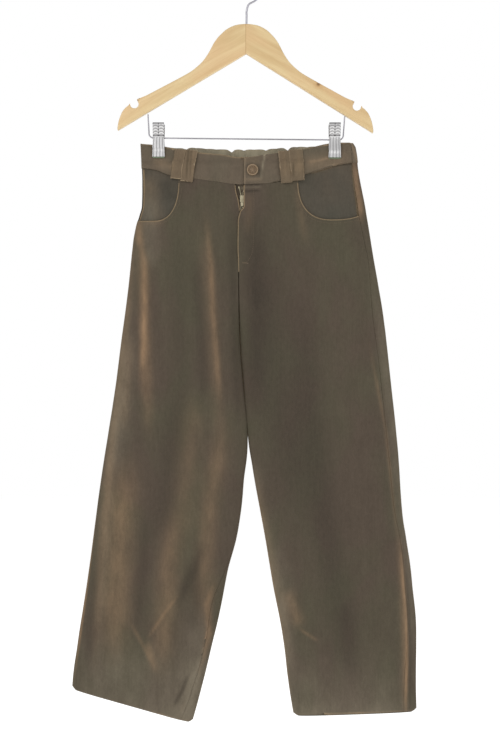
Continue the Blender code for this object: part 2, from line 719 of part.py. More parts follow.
def button(finish, parts):
    """A dished button, turned about the axis that points out of the waistband."""
    profile = (
        (0.0, 2.0), (2.2, 2.1), (3.4, 2.9), (4.6, 2.5), (6.2, 2.7), (7.8, 3.9), (9.0, 4.0),
        (10.0, 2.9), (9.6, 1.2), (7.5, 0.4), (2.2, 0.3), (0.0, 0.3),
    )
    steps = 20
    shape = bmesh.new()
    ring = [shape.verts.new((radius * BUTTON_RADIUS / 10, 0, height)) for radius, height in profile]
    for start, end in zip(ring[:-1], ring[1:]):
        shape.edges.new((start, end))
    bmesh.ops.spin(
        shape, geom=shape.verts[:] + shape.edges[:], axis=(0, 0, 1), cent=(0, 0, 0),
        angle=2 * math.pi, steps=steps, use_merge=True,
    )
    bmesh.ops.remove_doubles(shape, verts=shape.verts, dist=0.001)
    made = add_object("button", mesh_from("button", shape), finish, parts)
    made.matrix_world = skin_place(BUTTON_X, BUTTON_Z, BAND_PROUD + LAP_RISE + 0.2)


def flat_outline(name, outlines, half_thickness, finish, parts):
    """A flat shape from closed outlines in its own plane; an outline inside another is a hole."""
    curve = bpy.data.curves.new(name, "CURVE")
    curve.dimensions = "2D"
    curve.fill_mode = "BOTH"
    curve.extrude = half_thickness * MM
    for points in outlines:
        spline = curve.splines.new("POLY")
        spline.points.add(len(points) - 1)
        for point, (x, y) in zip(spline.points, points):
            point.co = (x * MM, y * MM, 0, 1)
        spline.use_cyclic_u = True
    return add_object(name, curve, finish, parts)


def box(shape, low, high):
    """Adds a box between two corners to a bmesh."""
    made = bmesh.ops.create_cube(shape, size=1)["verts"]
    size = [b - a for a, b in zip(low, high)]
    middle = [(a + b) / 2 for a, b in zip(low, high)]
    bmesh.ops.scale(shape, vec=size, verts=made)
    bmesh.ops.translate(shape, vec=middle, verts=made)


def join_boxes(name, boxes, finish, parts, cutters):
    """One solid from boxes that overlap, joined by Boolean unions."""
    shape = bmesh.new()
    box(shape, *boxes[0])
    made = add_object(name, mesh_from(name, shape), finish, parts, smooth=False)
    for number, corners in enumerate(boxes[1:]):
        piece = bmesh.new()
        box(piece, *corners)
        other = add_object(f"{name}_join_{number}", mesh_from(name, piece), finish, cutters, smooth=False)
        other.hide_render = True
        other.display_type = "WIRE"
        union = made.modifiers.new(f"join_{number}", "BOOLEAN")
        union.operation = "UNION"
        union.object = other
    return made


def zip_slider(finish, parts, cutters):
    """Two plates joined by a core between the tapes, with a bail in front that traps the pull."""
    half_width, half_height = SLIDER_HALF_WIDTH, SLIDER_HALF_HEIGHT
    bail_out = SLIDER_PLATE + BAIL_INSIDE + BAIL_WIRE
    back = -(TAPE_CLOTH + 2 * SEAM_GAP)
    boxes = (
        ((-half_width, -half_height, 0), (half_width, half_height, SLIDER_PLATE)),
        ((-half_width, -half_height, back - 1), (half_width, half_height, back)),
        ((-SLIDER_CORE, -half_height, back - 0.5), (SLIDER_CORE, half_height, 0.5)),
        ((-0.8, BAIL_TOP - BAIL_WIRE, 0.5), (0.8, BAIL_TOP, bail_out)),
        ((-0.8, BAIL_BOTTOM, 0.5), (0.8, BAIL_BOTTOM + BAIL_WIRE, bail_out)),
        ((-0.8, BAIL_BOTTOM, bail_out - BAIL_WIRE), (0.8, BAIL_TOP, bail_out)),
    )
    made = join_boxes("zip_slider", boxes, finish, parts, cutters)
    place = skin_place(ZIP_X, SLIDER_Z, -CLOTH - LAY_GAP + SEAM_GAP)
    made.matrix_world = place
    for modifier in made.modifiers:
        modifier.object.matrix_world = place


def zip_pull(finish, parts):
    """The pull tab, hanging from a cross bar that turns under the slider's bail."""
    arm_out = 0.8 + 0.4 + PULL_ARM
    half_tab = PULL_WIDTH / 2
    outline = (
        (-arm_out, PULL_BAR_RADIUS), (arm_out, PULL_BAR_RADIUS), (arm_out, -PULL_WINDOW),
        (half_tab, -PULL_WINDOW - 0.6), (half_tab, -PULL_LENGTH + 1.2), (half_tab - 0.4, -PULL_LENGTH + 0.4),
        (half_tab - 1.2, -PULL_LENGTH), (-half_tab + 1.2, -PULL_LENGTH), (-half_tab + 0.4, -PULL_LENGTH + 0.4),
        (-half_tab, -PULL_LENGTH + 1.2), (-half_tab, -PULL_WINDOW - 0.6), (-arm_out, -PULL_WINDOW),
    )
    inner = arm_out - PULL_ARM
    window = (
        (-inner, -PULL_BAR_RADIUS), (inner, -PULL_BAR_RADIUS), (inner, -PULL_WINDOW), (-inner, -PULL_WINDOW),
    )
    made = flat_outline("zip_pull", (outline, window), PULL_BAR_RADIUS, finish, parts)
    bar_z = BAIL_BOTTOM + BAIL_WIRE + 2 * SEAM_GAP + PULL_BAR_RADIUS
    bar_out = SLIDER_PLATE + BAIL_INSIDE / 2
    lift = -CLOTH - LAY_GAP + SEAM_GAP
    place = skin_place(ZIP_X, SLIDER_Z, lift)
    axis = place @ Vector((0, bar_z * MM, bar_out * MM))
    # It hangs plumb, whatever the slope of the cloth behind it.
    made.matrix_world = Matrix.Translation(axis) @ Matrix.Rotation(math.pi / 2, 4, "X")


def wire(name, points, diameter, finish, parts, tilt=0.0):
    """A round wire along points."""
    curve = bpy.data.curves.new(name, "CURVE")
    curve.dimensions = "3D"
    curve.bevel_depth = diameter / 2 * MM
    curve.bevel_resolution = 2
    curve.use_fill_caps = True
    spline = curve.splines.new("POLY")
    spline.points.add(len(points) - 1)
    for point, (x, y, z) in zip(spline.points, points):
        point.co = (x * MM, y * MM, z * MM, 1)
    made = add_object(name, curve, finish, parts)
    made.rotation_euler.y = tilt
    return made


def arc(centre, radius, start, end, steps):
    """Points on an arc between two angles in degrees."""
    turns = np.radians(np.linspace(start, end, steps + 1))
    return [(centre[0] + radius * math.cos(turn), centre[1] + radius * math.sin(turn)) for turn in turns]


def wood_outline():
    """The hanger's outline in its own plane, from the right half and its mirror image."""
    notch = arc((NOTCH_X, NOTCH_Z), NOTCH_RADIUS, 140, 368, 9)
    half = [(0, HUMP_TOP_Z)] + list(WOOD_TOP) + notch + list(WOOD_TIP)
    mirrored = [(-x, z) for x, z in half[1:]]
    return half + [(0, APEX_Z)] + mirrored[::-1]


def hanger_wood(finish, parts):
    """The wooden hanger with its bell-shaped middle and a strap notch near each tip."""
    made = flat_outline("hanger_wood", (wood_outline(),), WOOD_HALF - WOOD_EDGE, finish, parts)
    made.data.bevel_depth = WOOD_EDGE * MM
    made.data.bevel_resolution = 1
    made.data.offset = -WOOD_EDGE * MM
    made.matrix_world = Matrix.Rotation(HANGER_TILT, 4, "Y") @ Matrix.Rotation(math.pi / 2, 4, "X")


def hanger_hook(finish, parts):
    """The wire hook: straight up out of the wood, out to one side and round over the top."""
    centre = (0, -HOOK_RADIUS + HOOK_WIRE / 2)
    ring = arc(centre, HOOK_RADIUS, -28, 205, 22)
    start = ring[0]
    shank = [(0, HUMP_TOP_Z + SEAM_GAP), (0, HOOK_FOOT_Z - 8), (0.4, HOOK_FOOT_Z)]
    bend = [(3.4, HOOK_FOOT_Z + 7), ((3.4 + start[0]) / 2 + 0.6, (HOOK_FOOT_Z + 7 + start[1]) / 2 - 0.4)]
    points = [(x, 0, z) for x, z in shank + bend + ring]
    wire("hanger_hook", points, HOOK_WIRE, finish, parts, HANGER_TILT)


def clip_bar(finish, parts):
    """The wire that hangs under the wood and carries both clips."""
    low = BAR_Z + BAR_CORNER
    right = arc((BAR_HALF - BAR_CORNER, low), BAR_CORNER, 0, -90, 4)
    left = [(-x, z) for x, z in right[::-1]]
    points = [(BAR_HALF + 2, BAR_TOP_Z)] + right + left + [(-BAR_HALF - 2, BAR_TOP_Z)]
    wire("clip_bar", [(x, 0, z) for x, z in points], BAR_WIRE, finish, parts, HANGER_TILT)


def clip_pieces(side, plate, rubber, parts):
    """One clip: a bent plate in front and behind, the spring round the bar and a pad in each jaw."""
    middle, bar_z, top_z, jaw_z = CLIPS[side]
    pad_out = CLIP_BAND_HALF + SEAM_GAP + PAD_CLOTH
    jaw_out = pad_out + SEAM_GAP
    pivot_out = SPRING_RADIUS + SEAM_GAP
    inner = (
        (13.0, top_z), (12.2, top_z - 8), (pivot_out + 1.6, bar_z + 7), (pivot_out, bar_z),
        (pivot_out + 0.6, bar_z - 7), (jaw_out + 1.6, bar_z - 18), (jaw_out, bar_z - 24), (jaw_out, jaw_z),
    )
    sheet = [(out, z) for out, z in inner] + [(out + CLIP_SHEET, z) for out, z in inner[::-1]]
    for face, sign in (("front", -1), ("back", 1)):
        outline = [(out * sign, z) for out, z in sheet]
        made = flat_outline(f"clip_{side}_{face}", (outline,), CLIP_HALF_WIDTH, plate, parts)
        upright = Matrix(((0, 0, 1, 0), (1, 0, 0, 0), (0, 1, 0, 0), (0, 0, 0, 1)))
        made.matrix_world = Matrix.Translation((middle * MM, 0, 0)) @ upright
        pad = bmesh.new()
        ends = sorted((sign * (pad_out - PAD_CLOTH), sign * pad_out))
        half = CLIP_HALF_WIDTH - 1
        box(pad, (middle - half, ends[0], jaw_z + 0.5), (middle + half, ends[1], jaw_z + PAD_HEIGHT))
        name = f"clip_pad_{side}_{face}"
        add_object(name, mesh_from(name, pad), rubber, parts, smooth=False)
    spring_ring(side, plate, parts)


def spring_ring(side, finish, parts):
    """The clip's spring as a sleeve round the bar."""
    bore = BAR_WIRE / 2 + SEAM_GAP
    shape = bmesh.new()
    corners = ((bore, -1), (SPRING_RADIUS, -1), (SPRING_RADIUS, 1), (bore, 1))
    ring = [shape.verts.new((end * SPRING_HALF_LENGTH, 0, radius)) for radius, end in corners]
    edges = [shape.edges.new((a, b)) for a, b in zip(ring, ring[1:] + ring[:1])]
    bmesh.ops.spin(
        shape, geom=ring + edges, axis=(1, 0, 0), cent=(0, 0, 0),
        angle=2 * math.pi, steps=16, use_merge=True,
    )
    bmesh.ops.remove_doubles(shape, verts=shape.verts, dist=0.001)
    name = f"clip_spring_{side}"
    made = add_object(name, mesh_from(name, shape), finish, parts)
    made.location = (CLIPS[side].x * MM, 0, CLIPS[side].bar_z * MM)


def clear_scene():
    for old in list(bpy.data.objects):
        bpy.data.objects.remove(old, do_unlink=True)


def main():
    clear_scene()
    parts = bpy.data.collections.new("trousers")
    cutters = bpy.data.collections.new("joined_shapes")
    bpy.context.scene.collection.children.link(parts)
    bpy.context.scene.collection.children.link(cutters)
    velvet = material("velvet", (0.085, 0.063, 0.043), 0.9)
    button_face = material("button", (0.15, 0.10, 0.07), 0.5)
    tape = material("zip_tape", (0.07, 0.055, 0.04), 0.9)
    brass = material("zip_metal", (0.55, 0.47, 0.33), 0.35, 1.0)
    wood = material("wood", (0.72, 0.49, 0.24), 0.45)
    steel = material("steel", (0.75, 0.75, 0.78), 0.25, 1.0)
    rubber = material("rubber", (0.12, 0.2, 0.12), 0.7)
    for leg in LEGS:
        front_panel(leg, velvet, parts)
        back_panel(leg, velvet, parts)
        pocket_facing(leg, velvet, parts)
        front_band(leg, velvet, parts)
        zip_tape(leg, tape, parts)
        clip_pieces(leg, steel, rubber, parts)
    back_band(velvet, parts)
    for loop in LOOPS:
        belt_loop(loop, velvet, parts)
    button(button_face, parts)
    zip_slider(brass, parts, cutters)
    zip_pull(brass, parts)
    hanger_wood(wood, parts)
    hanger_hook(steel, parts)
    clip_bar(steel, parts)


main()
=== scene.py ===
"""Velvet trousers on a wooden clip hanger: the looks of the part, in the CAD's own frame.

Sizes are in millimetres and become metres when a piece is made. +Z is up and the front faces -Y. Left and
right are the wearer's, so the right leg is at -X. Each cloth piece lies on the skin that its solid lies on.
"""

import math
from collections import namedtuple
from functools import partial

import bmesh
import bpy
import numpy as np
from mathutils import Matrix, Vector

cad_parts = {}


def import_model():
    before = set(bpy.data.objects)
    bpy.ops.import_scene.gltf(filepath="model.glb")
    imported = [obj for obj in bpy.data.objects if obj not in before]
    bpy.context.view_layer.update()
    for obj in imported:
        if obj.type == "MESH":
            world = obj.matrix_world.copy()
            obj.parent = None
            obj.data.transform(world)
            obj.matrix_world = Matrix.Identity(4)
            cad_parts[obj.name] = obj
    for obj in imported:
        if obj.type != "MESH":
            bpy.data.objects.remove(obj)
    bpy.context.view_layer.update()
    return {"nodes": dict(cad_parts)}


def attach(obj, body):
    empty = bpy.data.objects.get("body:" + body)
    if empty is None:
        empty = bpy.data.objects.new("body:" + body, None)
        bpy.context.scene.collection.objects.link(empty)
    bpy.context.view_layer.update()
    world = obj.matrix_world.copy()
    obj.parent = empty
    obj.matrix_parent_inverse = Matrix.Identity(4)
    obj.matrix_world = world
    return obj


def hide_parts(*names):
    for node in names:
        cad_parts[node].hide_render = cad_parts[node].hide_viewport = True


MM = 0.001

# Cloth
CLOTH = 1.8
BAND_CLOTH = 2.6
BAND_PROUD = 0.8
SEAM_GAP = 0.35
HALF_GAP = SEAM_GAP / 2 + 0.05
LAY_GAP = 0.4
FACING_GAP = 1.3

# Legs and body. The outer fold, the side seam's distance from it, the front's and the back's edge at the
# centre or at the inner fold, and the inseam's distance from that fold.
Section = namedtuple("Section", "z outer side_inset front_inner back_inner inseam_inset", defaults=(0,))

RIGHT_SECTIONS = (
    Section(-280, -182.8, 0, -20.6, -2.4),
    Section(-329, -180.8, 0, -20.6, -2.4),
    Section(-360, -180.2, 0, -20.4, -2.4),
    Section(-388, -180.6, 0, -15.0, -2.4),
    Section(-410, -185.0, 0, -12.4, -2.4),
    Section(-430, -191.0, 0, -11.6, -2.4),
    Section(-470, -197.2, 0, -11.6, -3.9),
    Section(-484, -198.7, 0, -14.9, -4.9),
    Section(-505, -200.8, 0, -14.8, -6.5),
    Section(-555, -206.5, 0, -14.4, -10.4),
    Section(-625, -216.0, 0, -11.6, -11.6),
    Section(-684, -223.4, 0, -7.3, -7.3),
    Section(-710, -227.0, 0, -5.2, -5.2),
    Section(-787, -239.0, 0, 1.3, 1.3),
    Section(-864, -251.0, 0, -5.2, -5.2),
    Section(-942, -261.5, 0, -13.8, -13.8),
    Section(-1019, -271.8, 0, -32.7, -32.7, 5),
    Section(-1083, -281.5, 0, -45.0, -45.0, 17),
    Section(-1148, -291.5, 0, -60.2, -60.2, 13),
    Section(-1225, -300.8, 0, -79.0, -79.0, 16),
    Section(-1285, -304.0, 0, -95.5, -95.5, 22),
)
LEFT_SECTIONS = (
    Section(-283, 180.0, 5, -4.6, -2.0),
    Section(-297, 187.0, 7, -4.6, -2.0),
    Section(-331, 191.2, 10, -4.6, -2.0),
    Section(-397, 203.5, 14, -4.6, -2.0),
    Section(-406, 204.9, 14.6, -11.0, -2.0),
    Section(-430, 208.9, 13.5, -14.5, -2.0),
    Section(-470, 215.3, 11.5, -15.0, -3.4),
    Section(-484, 217.6, 11, -14.3, -4.3),
    Section(-526, 225.0, 14.5, -13.6, -7.6),
    Section(-606, 237.4, 19.5, -12.2, -11.4),
    Section(-625, 239.6, 19, -11.6, -11.6),
    Section(-684, 246.0, 18, -7.4, -7.4),
    Section(-710, 248.8, 18, -5.4, -5.4),
    Section(-787, 257.0, 18, 1.2, 1.2),
    Section(-838, 261.4, 17, 8.6, 8.6),
    Section(-916, 266.6, 14, 22.4, 22.4),
    Section(-964, 273.5, 11.5, 31.2, 31.2),
    Section(-1045, 284.2, 13.5, 44.7, 44.7),
    Section(-1148, 291.0, 17, 63.6, 63.6),
    Section(-1200, 290.4, 21.5, 69.6, 69.6),
    Section(-1290, 292.6, 24, 84.0, 84.0),
)

# How far the front and the back stand from the middle plane
Depth = namedtuple("Depth", "z front back")
DEPTHS = (
    Depth(-280, 15, 10),
    Depth(-360, 19, 16),
    Depth(-430, 21, 26),
    Depth(-520, 21, 31),
    Depth(-625, 17, 26),
    Depth(-787, 15, 19),
    Depth(-942, 16, 18),
    Depth(-1097, 18, 20),
    Depth(-1225, 21, 23),
    Depth(-1290, 22, 24),
)
FOLD_POWER = 0.72
PINCHED_HALF = 2.05
POCKET_ROOM = 3.5
CROTCH_Z = -625
FRONT_CURVE = 85
BACK_CURVE = 115

# The height at which the panels' columns become even
JOIN_Z = -470

# Heights at which the legs' widths are read for the band and for the top of the front panels
BAND_MIDDLE_Z = {"front": -306, "back": -315}
BAND_LOW_Z = -330
FLY_START_Z = -359

# Waistband: its top edge and the seam under it, read across the body
BandEdge = namedtuple("BandEdge", "x top seam")
FRONT_BAND = (
    BandEdge(-186, -286.8, -328.4),
    BandEdge(-164, -288.5, -330.8),
    BandEdge(-132, -294.5, -342.0),
    BandEdge(-86, -303.4, -349.2),
    BandEdge(-46, -307.0, -354.4),
    BandEdge(-5, -312.2, -358.6),
    BandEdge(30, -308.2, -358.0),
    BandEdge(57, -304.2, -354.0),
    BandEdge(100, -297.0, -342.5),
    BandEdge(150, -285.6, -325.6),
    BandEdge(172, -284.8, -320.6),
    BandEdge(182, -286.6, -319.6),
    BandEdge(196, -293.0, -318.4),
)
BACK_BAND = (
    BandEdge(-186, -286.8, -328.4),
    BandEdge(-140, -291.5, -333.0),
    BandEdge(-100, -296.6, -338.0),
    BandEdge(0, -300.4, -341.5),
    BandEdge(70, -297.4, -338.5),
    BandEdge(140, -288.5, -328.0),
    BandEdge(172, -285.6, -320.6),
    BandEdge(182, -286.6, -319.6),
    BandEdge(196, -293.0, -318.4),
)
UNDERLAP_END = 28
LAP_RISE = 3.3
LAP_FULL_X = 33
LAP_NONE_X = 72
LAP_LOW_Z = -506
LAP_HIGH_Z = -480

# Elastic gathers: the notches between the puffs of the back waistband
GATHER_NOTCHES = (
    -176, -163, -140, -124, -104, -86, -68, -50, -23.7, -1.4, 16, 37, 55, 75, 92, 110, 126, 141, 163, 178,
)
GATHER_DEPTHS = (
    0.6, 0.4, 0.8, 0.3, 0.9, 0.1, 0.12, 0.1, 0.9, 0.34, 0.06, 0.4, 0.1, 0.9, 0.12, 0.3, 0.7, 0.3, 0.6, 0.5,
)
GATHER_NARROW = 4.2
GATHER_RISE = 6.5
GATHER_PUFF = 4.0
GATHER_FADE = 95

# Soft folds: a ridge, or a trough where the rise is negative, from its top to its bottom
Fold = namedtuple("Fold", "leg face x_top z_top x_bottom z_bottom half_width rise")
FOLDS = (
    Fold("right", "front", -170, -440, -175, -700, 12, 3.0),
    Fold("right", "front", -66, -400, -38, -830, 15, 3.5),
    Fold("right", "front", -122, -520, -112, -860, 24, -3.0),
    Fold("right", "front", -222, -880, -222, -1150, 21, 3.0),
    Fold("right", "front", -140, -900, -142, -1090, 22, 3.5),
    Fold("right", "front", -94, -990, -96, -1060, 10, -3.5),
    Fold("right", "front", -117, -1057, -176, -1138, 9, -2.5),
    Fold("right", "front", -198, -1110, -156, -1186, 9, -2.5),
    Fold("right", "back", -110, -480, -130, -1000, 26, 3.0),
    Fold("right", "back", -160, -760, -190, -1250, 20, -3.0),
    Fold("right", "back", -66, -600, -104, -1180, 18, -2.5),
    Fold("left", "front", 78, -480, 120, -1000, 30, -2.5),
    Fold("left", "front", 150, -500, 196, -1240, 26, 2.5),
    Fold("left", "front", 34, -640, 96, -1120, 18, 2.0),
    Fold("left", "front", 72, -1062, 122, -1136, 9, 2.0),
    Fold("left", "back", 90, -520, 140, -1120, 24, 3.0),
    Fold("left", "back", 166, -640, 222, -1200, 22, -3.0),
    Fold("left", "back", 52, -700, 110, -1240, 16, -2.0),
)

# Hems: heights at the outer fold and at the inner fold, how much higher the front hangs there and how much
# lower the back
Hem = namedtuple("Hem", "outer inner front_rise back_drop")
HEMS = {"right": Hem(-1220.2, -1278, -2, 2), "left": Hem(-1259.5, -1267, 2, 9.5)}
HEM_CORNER = 4
HEM_CORNER_WIDTH = 8

# Scoop pockets: where the edge leaves the waist seam, its lowest point, and its end on the side seam
Scoop = namedtuple("Scoop", "start_x start_z low_x low_z end_z facing_x")
SCOOPS = {
    "right": Scoop(-116.3, -346.0, -160, -421.7, -421.0, -98),
    "left": Scoop(86.2, -347.0, 145, -419.5, -412.3, 68),
}
SCOOP_POWER = 2.5
POCKET_DEEP = 18

# A pocket facing: where its width is read, how far it goes up behind the band, and its rounded lower corner
FACING_Z = -375
FACING_UP = 6
FACING_CORNER_WIDTH = 45
FACING_CORNER = 62

# Belt loops: the middles of their two ends on the front waistband
Loop = namedtuple("Loop", "name top_x top_z bottom_x bottom_z width")
LOOPS = (
    Loop("belt_loop_right_side", -113.6, -297.2, -121.5, -348.3, 18.0),
    Loop("belt_loop_right_front", -94.0, -299.4, -101.8, -354.0, 18.5),
    Loop("belt_loop_left_front", 62.6, -301.4, 67.2, -356.5, 17.5),
    Loop("belt_loop_left_side", 83.4, -298.8, 87.4, -352.2, 20.0),
)
LOOP_CLOTH = 1.9
LOOP_STAND = 1.6

# The button, and how much lower than its solid it is drawn
BUTTON_X = 9.5
BUTTON_Z = -332.3
BUTTON_RADIUS = 10
BUTTON_DROP = 2.4

# The button's outline, from the middle of its face round its edge to its back, as distance out and height
BUTTON_PROFILE = (
    (0.0, 2.7), (1.2, 2.7), (2.4, 2.5), (3.6, 2.0), (5.0, 1.6), (6.1, 1.8), (6.9, 2.8), (7.6, 3.8),
    (8.3, 4.2), (9.0, 4.1), (9.7, 3.6), (10.0, 2.7), (9.9, 1.8), (9.4, 1.1), (7.5, 0.4), (2.2, 0.3),
    (0.0, 0.3),
)

# The zip
ZIP_X = -8.3
ZIP_TOP_Z = -360.5
ZIP_CLOSED_Z = -379
ZIP_END_Z = -482
ZIP_TOP_X = {"right": -16.4, "left": -1.2}
ZIP_SPREAD = 8
TOOTH_HALF = 2.2
TOOTH_SIZE = (2.6, 1.7, 1.1)
STOP_SIZE = (2.2, 2.2, 2.8)
TAPE_WIDTH = 11
TAPE_CLOTH = 0.8
SHIELD_ENDS = (-27, 20)
SLIDER_Z = -383
SLIDER_HALF_HEIGHT = 5.5

# Hanger
HANGER_TILT = math.radians(0.6)
WOOD_HALF = 6
WOOD_EDGE = 1.6
HUMP_TOP_Z = -81
GRAIN_SLOPE = math.radians(30)

# The wood's glued joint and its knot, in metres as the shader reads them
WOOD_JOINT_X = -0.0022
WOOD_KNOT = (0.1225, -0.006, -0.1847)

# The right half of the wood's outline as x and z: from the hump to the notch, and round the tip
WOOD_TOP = (
    (15.4, -82.5), (25.8, -86.0), (36.2, -92.2), (46.4, -102.0), (51.8, -108.6), (56.8, -116.4),
    (62.2, -127.0), (67.2, -135.6), (72.2, -142.9), (77.6, -149.2), (87.8, -158.5), (98.0, -165.8),
    (118.6, -177.5), (180.6, -211.0), (184.6, -213.4),
)
WOOD_TIP = (
    (201.0, -222.8), (206.6, -227.4), (212.0, -234.5), (217.3, -248.0), (219.8, -262.0), (219.0, -266.0),
)
NOTCH_X = 191.2
NOTCH_Z = -220.6
NOTCH_RADIUS = 7.3
APEX_Z = -132.0
HOOK_WIRE = 3.4
HOOK_RADIUS = 24.5
HOOK_FOOT_Z = -54
BAR_WIRE = 2.4
BAR_Z = -278.1
BAR_HALF = 168.5
BAR_CORNER = 8
BAR_TOP_Z = -237.4
ClipPlace = namedtuple("ClipPlace", "x bar_z top_z jaw_z")
CLIPS = {
    "right": ClipPlace(-151.9, -276.5, -251.6, -311.6),
    "left": ClipPlace(150.8, -279.7, -251.6, -312.8),
}
CLIP_HALF_WIDTH = 11
CLIP_SHEET = 1.2
CLIP_BAND_HALF = PINCHED_HALF + BAND_PROUD + 0.1
PAD_CLOTH = 1.6
SPRING_RADIUS = 4.4
SPRING_HALF_LENGTH = 7


def smooth_step(start, end, at):
    """0 before start, 1 past end and smooth between; end may be the smaller."""
    share = np.clip((np.asarray(at, float) - start) / (end - start), 0, 1)
    return share * share * (3 - 2 * share)


def curve_through(knots, values):
    """A function on cubic pieces through the knots that never overshoots its values."""
    order = np.argsort(knots)
    knots = np.asarray(knots, float)[order]
    values = np.asarray(values, float)[order]
    steps = np.diff(knots)
    slopes = np.diff(values) / steps
    tangents = np.concatenate([slopes[:1], np.zeros(len(values) - 2), slopes[-1:]])
    same_way = slopes[:-1] * slopes[1:] > 0
    inner = 2 * slopes[:-1] * slopes[1:] / np.where(same_way, slopes[:-1] + slopes[1:], 1)
    tangents[1:-1] = np.where(same_way, inner, 0)

    def value(at):
        at = np.clip(np.asarray(at, float), knots[0], knots[-1])
        piece = np.clip(np.searchsorted(knots, at) - 1, 0, len(steps) - 1)
        t = (at - knots[piece]) / steps[piece]
        start = values[piece] + t * steps[piece] * tangents[piece]
        end = values[piece + 1] - (1 - t) * steps[piece] * tangents[piece + 1]
        weight = t * t * (3 - 2 * t)
        return start + (end - start) * weight

    return value


def columns(rows):
    """One curve for each column of a table, read along its first column."""
    kind = type(rows[0])
    table = np.array(rows, float)
    return kind(*(curve_through(table[:, 0], table[:, i]) for i in range(len(kind._fields))))


LEGS = {"right": columns(RIGHT_SECTIONS), "left": columns(LEFT_SECTIONS)}
DEPTH = columns(DEPTHS)
BAND = {"front": columns(FRONT_BAND), "back": columns(BACK_BAND)}
OUTWARD = {"right": -1, "left": 1}


def pinch(x, z):
    """0 where a clip holds the waist shut, 1 where the cloth is free."""
    free_below = smooth_step(-318, -425, z)
    share = np.ones(np.broadcast(x, z).shape)
    for clip in CLIPS.values():
        beside = smooth_step(CLIP_HALF_WIDTH + 8, 66, np.abs(x - clip.x))
        share = share * (beside + (1 - beside) * free_below)
    return share


def puff(x):
    """1 on the puffs of the gathered waist, sinking towards 0 at its deepest notches."""
    rise = np.ones(np.shape(x))
    for notch, depth in zip(GATHER_NOTCHES, GATHER_DEPTHS):
        rise = rise - depth * np.exp(-np.abs((x - notch) / GATHER_NARROW) ** 1.5)
    return rise


def relief(leg, front, x, z):
    """How far the folds and gathers push the cloth out at a place."""
    rise = np.zeros(np.broadcast(x, z).shape)
    for fold in FOLDS:
        if fold.leg != leg:
            continue
        along = (fold.z_top - z) / (fold.z_top - fold.z_bottom)
        middle = fold.x_top + (fold.x_bottom - fold.x_top) * along
        ends = smooth_step(-0.12, 0.2, along) * smooth_step(1.12, 0.8, along)
        shape = np.exp(-(((x - middle) / fold.half_width) ** 2))
        rise = rise + fold.rise * ends * shape * (front == (fold.face == "front"))
    seam = BAND["back"].seam(x)
    gathers = GATHER_PUFF * puff(x) * smooth_step(seam - GATHER_FADE, seam, z) * pinch(x, z)
    return rise + np.where(front, 0, gathers)


def stand_off(leg, front, cosine, x, z):
    """How far the skin stands from the middle plane."""
    sine = np.sqrt(np.clip(1 - cosine * cosine, 0, 1))
    closed = np.where(
        front,
        smooth_step(CROTCH_Z + FRONT_CURVE, CROTCH_Z, z),
        smooth_step(CROTCH_Z + BACK_CURVE, CROTCH_Z, z),
    )
    leg_round = sine**FOLD_POWER
    body_round = np.where(cosine < 0, 1, leg_round)
    fullness = body_round + (leg_round - body_round) * closed
    depth = np.where(front, DEPTH.front(z), DEPTH.back(z)) * pinch(x, z)
    room = np.where(front, POCKET_ROOM * smooth_step(-315, -325, z), 0)
    shut = (PINCHED_HALF + room) * np.tanh(fullness / 0.25)
    return shut + (depth + relief(leg, front, x, z)) * fullness


def leg_skin(leg, angle, z):
    """Points of a leg's skin: the angle is 0 at the outer fold, pi at the inner one, negative in front."""
    front = np.sin(angle) < 0
    table = LEGS[leg]
    outer = table.outer(z)
    inner = np.where(front, table.front_inner(z), table.back_inner(z))
    cosine = np.cos(angle)
    x = outer + (inner - outer) * (1 - cosine) / 2
    y = stand_off(leg, front, cosine, x, z)
    return np.stack([x, np.where(front, -y, y), z + np.zeros_like(x)], axis=-1)


def body_skin(angle, z):
    """The same skin above the crotch, right round the body: 0 at the right fold and pi at the left one."""
    front = np.sin(angle) < 0
    right, left = LEGS["right"].outer(z), LEGS["left"].outer(z)
    x = right + (left - right) * (1 - np.cos(angle)) / 2
    sides = []
    for leg, outer in (("right", right), ("left", left)):
        inner = np.where(front, LEGS[leg].front_inner(z), LEGS[leg].back_inner(z))
        cosine = np.clip(1 - 2 * (x - outer) / (inner - outer), -1, 1)
        sides.append(stand_off(leg, front, cosine, x, z))
    y = np.where(x < ZIP_X, sides[0], sides[1])
    return np.stack([x, np.where(front, -y, y), z + np.zeros_like(x)], axis=-1)


Skin = namedtuple("Skin", "at outward")
BODY = Skin(body_skin, -1)
LEG_SKINS = {leg: Skin(partial(leg_skin, leg), OUTWARD[leg]) for leg in LEGS}


def normals(skin, angle, z, split):
    """Unit normals, facing out. Where a skin is split at the centre, no step crosses from front to back."""
    step = 0.012
    limit = np.where(split, math.pi - 1e-4, 10)
    turn = skin.at(np.clip(angle + step, -limit, limit), z) - skin.at(np.clip(angle - step, -limit, limit), z)
    rise = skin.at(angle, z + 0.5) - skin.at(angle, z - 0.5)
    normal = np.cross(turn, rise) * skin.outward
    return normal / np.linalg.norm(normal, axis=-1, keepdims=True)


def body_angle(x, z, front=True):
    """The angle on body_skin of a place that is given by x."""
    right, left = LEGS["right"].outer(z), LEGS["left"].outer(z)
    angle = np.arccos(np.clip(1 - 2 * (x - right) / (left - right), -1, 1))
    return -angle if front else angle


def leg_angle(leg, x, z):
    """The angle on leg_skin of a place on the front that is given by x."""
    outer, inner = LEGS[leg].outer(z), LEGS[leg].front_inner(z)
    return -np.arccos(np.clip(1 - 2 * (x - outer) / (inner - outer), -1, 1))


def inset_angle(leg, inset, z):
    """The angle from a fold to a seam that lies at a distance from it."""
    table = LEGS[leg]
    width = np.abs(table.outer(z) - table.front_inner(z))
    return np.arccos(np.clip(1 - 2 * np.maximum(inset, 0) / width, -1, 1))


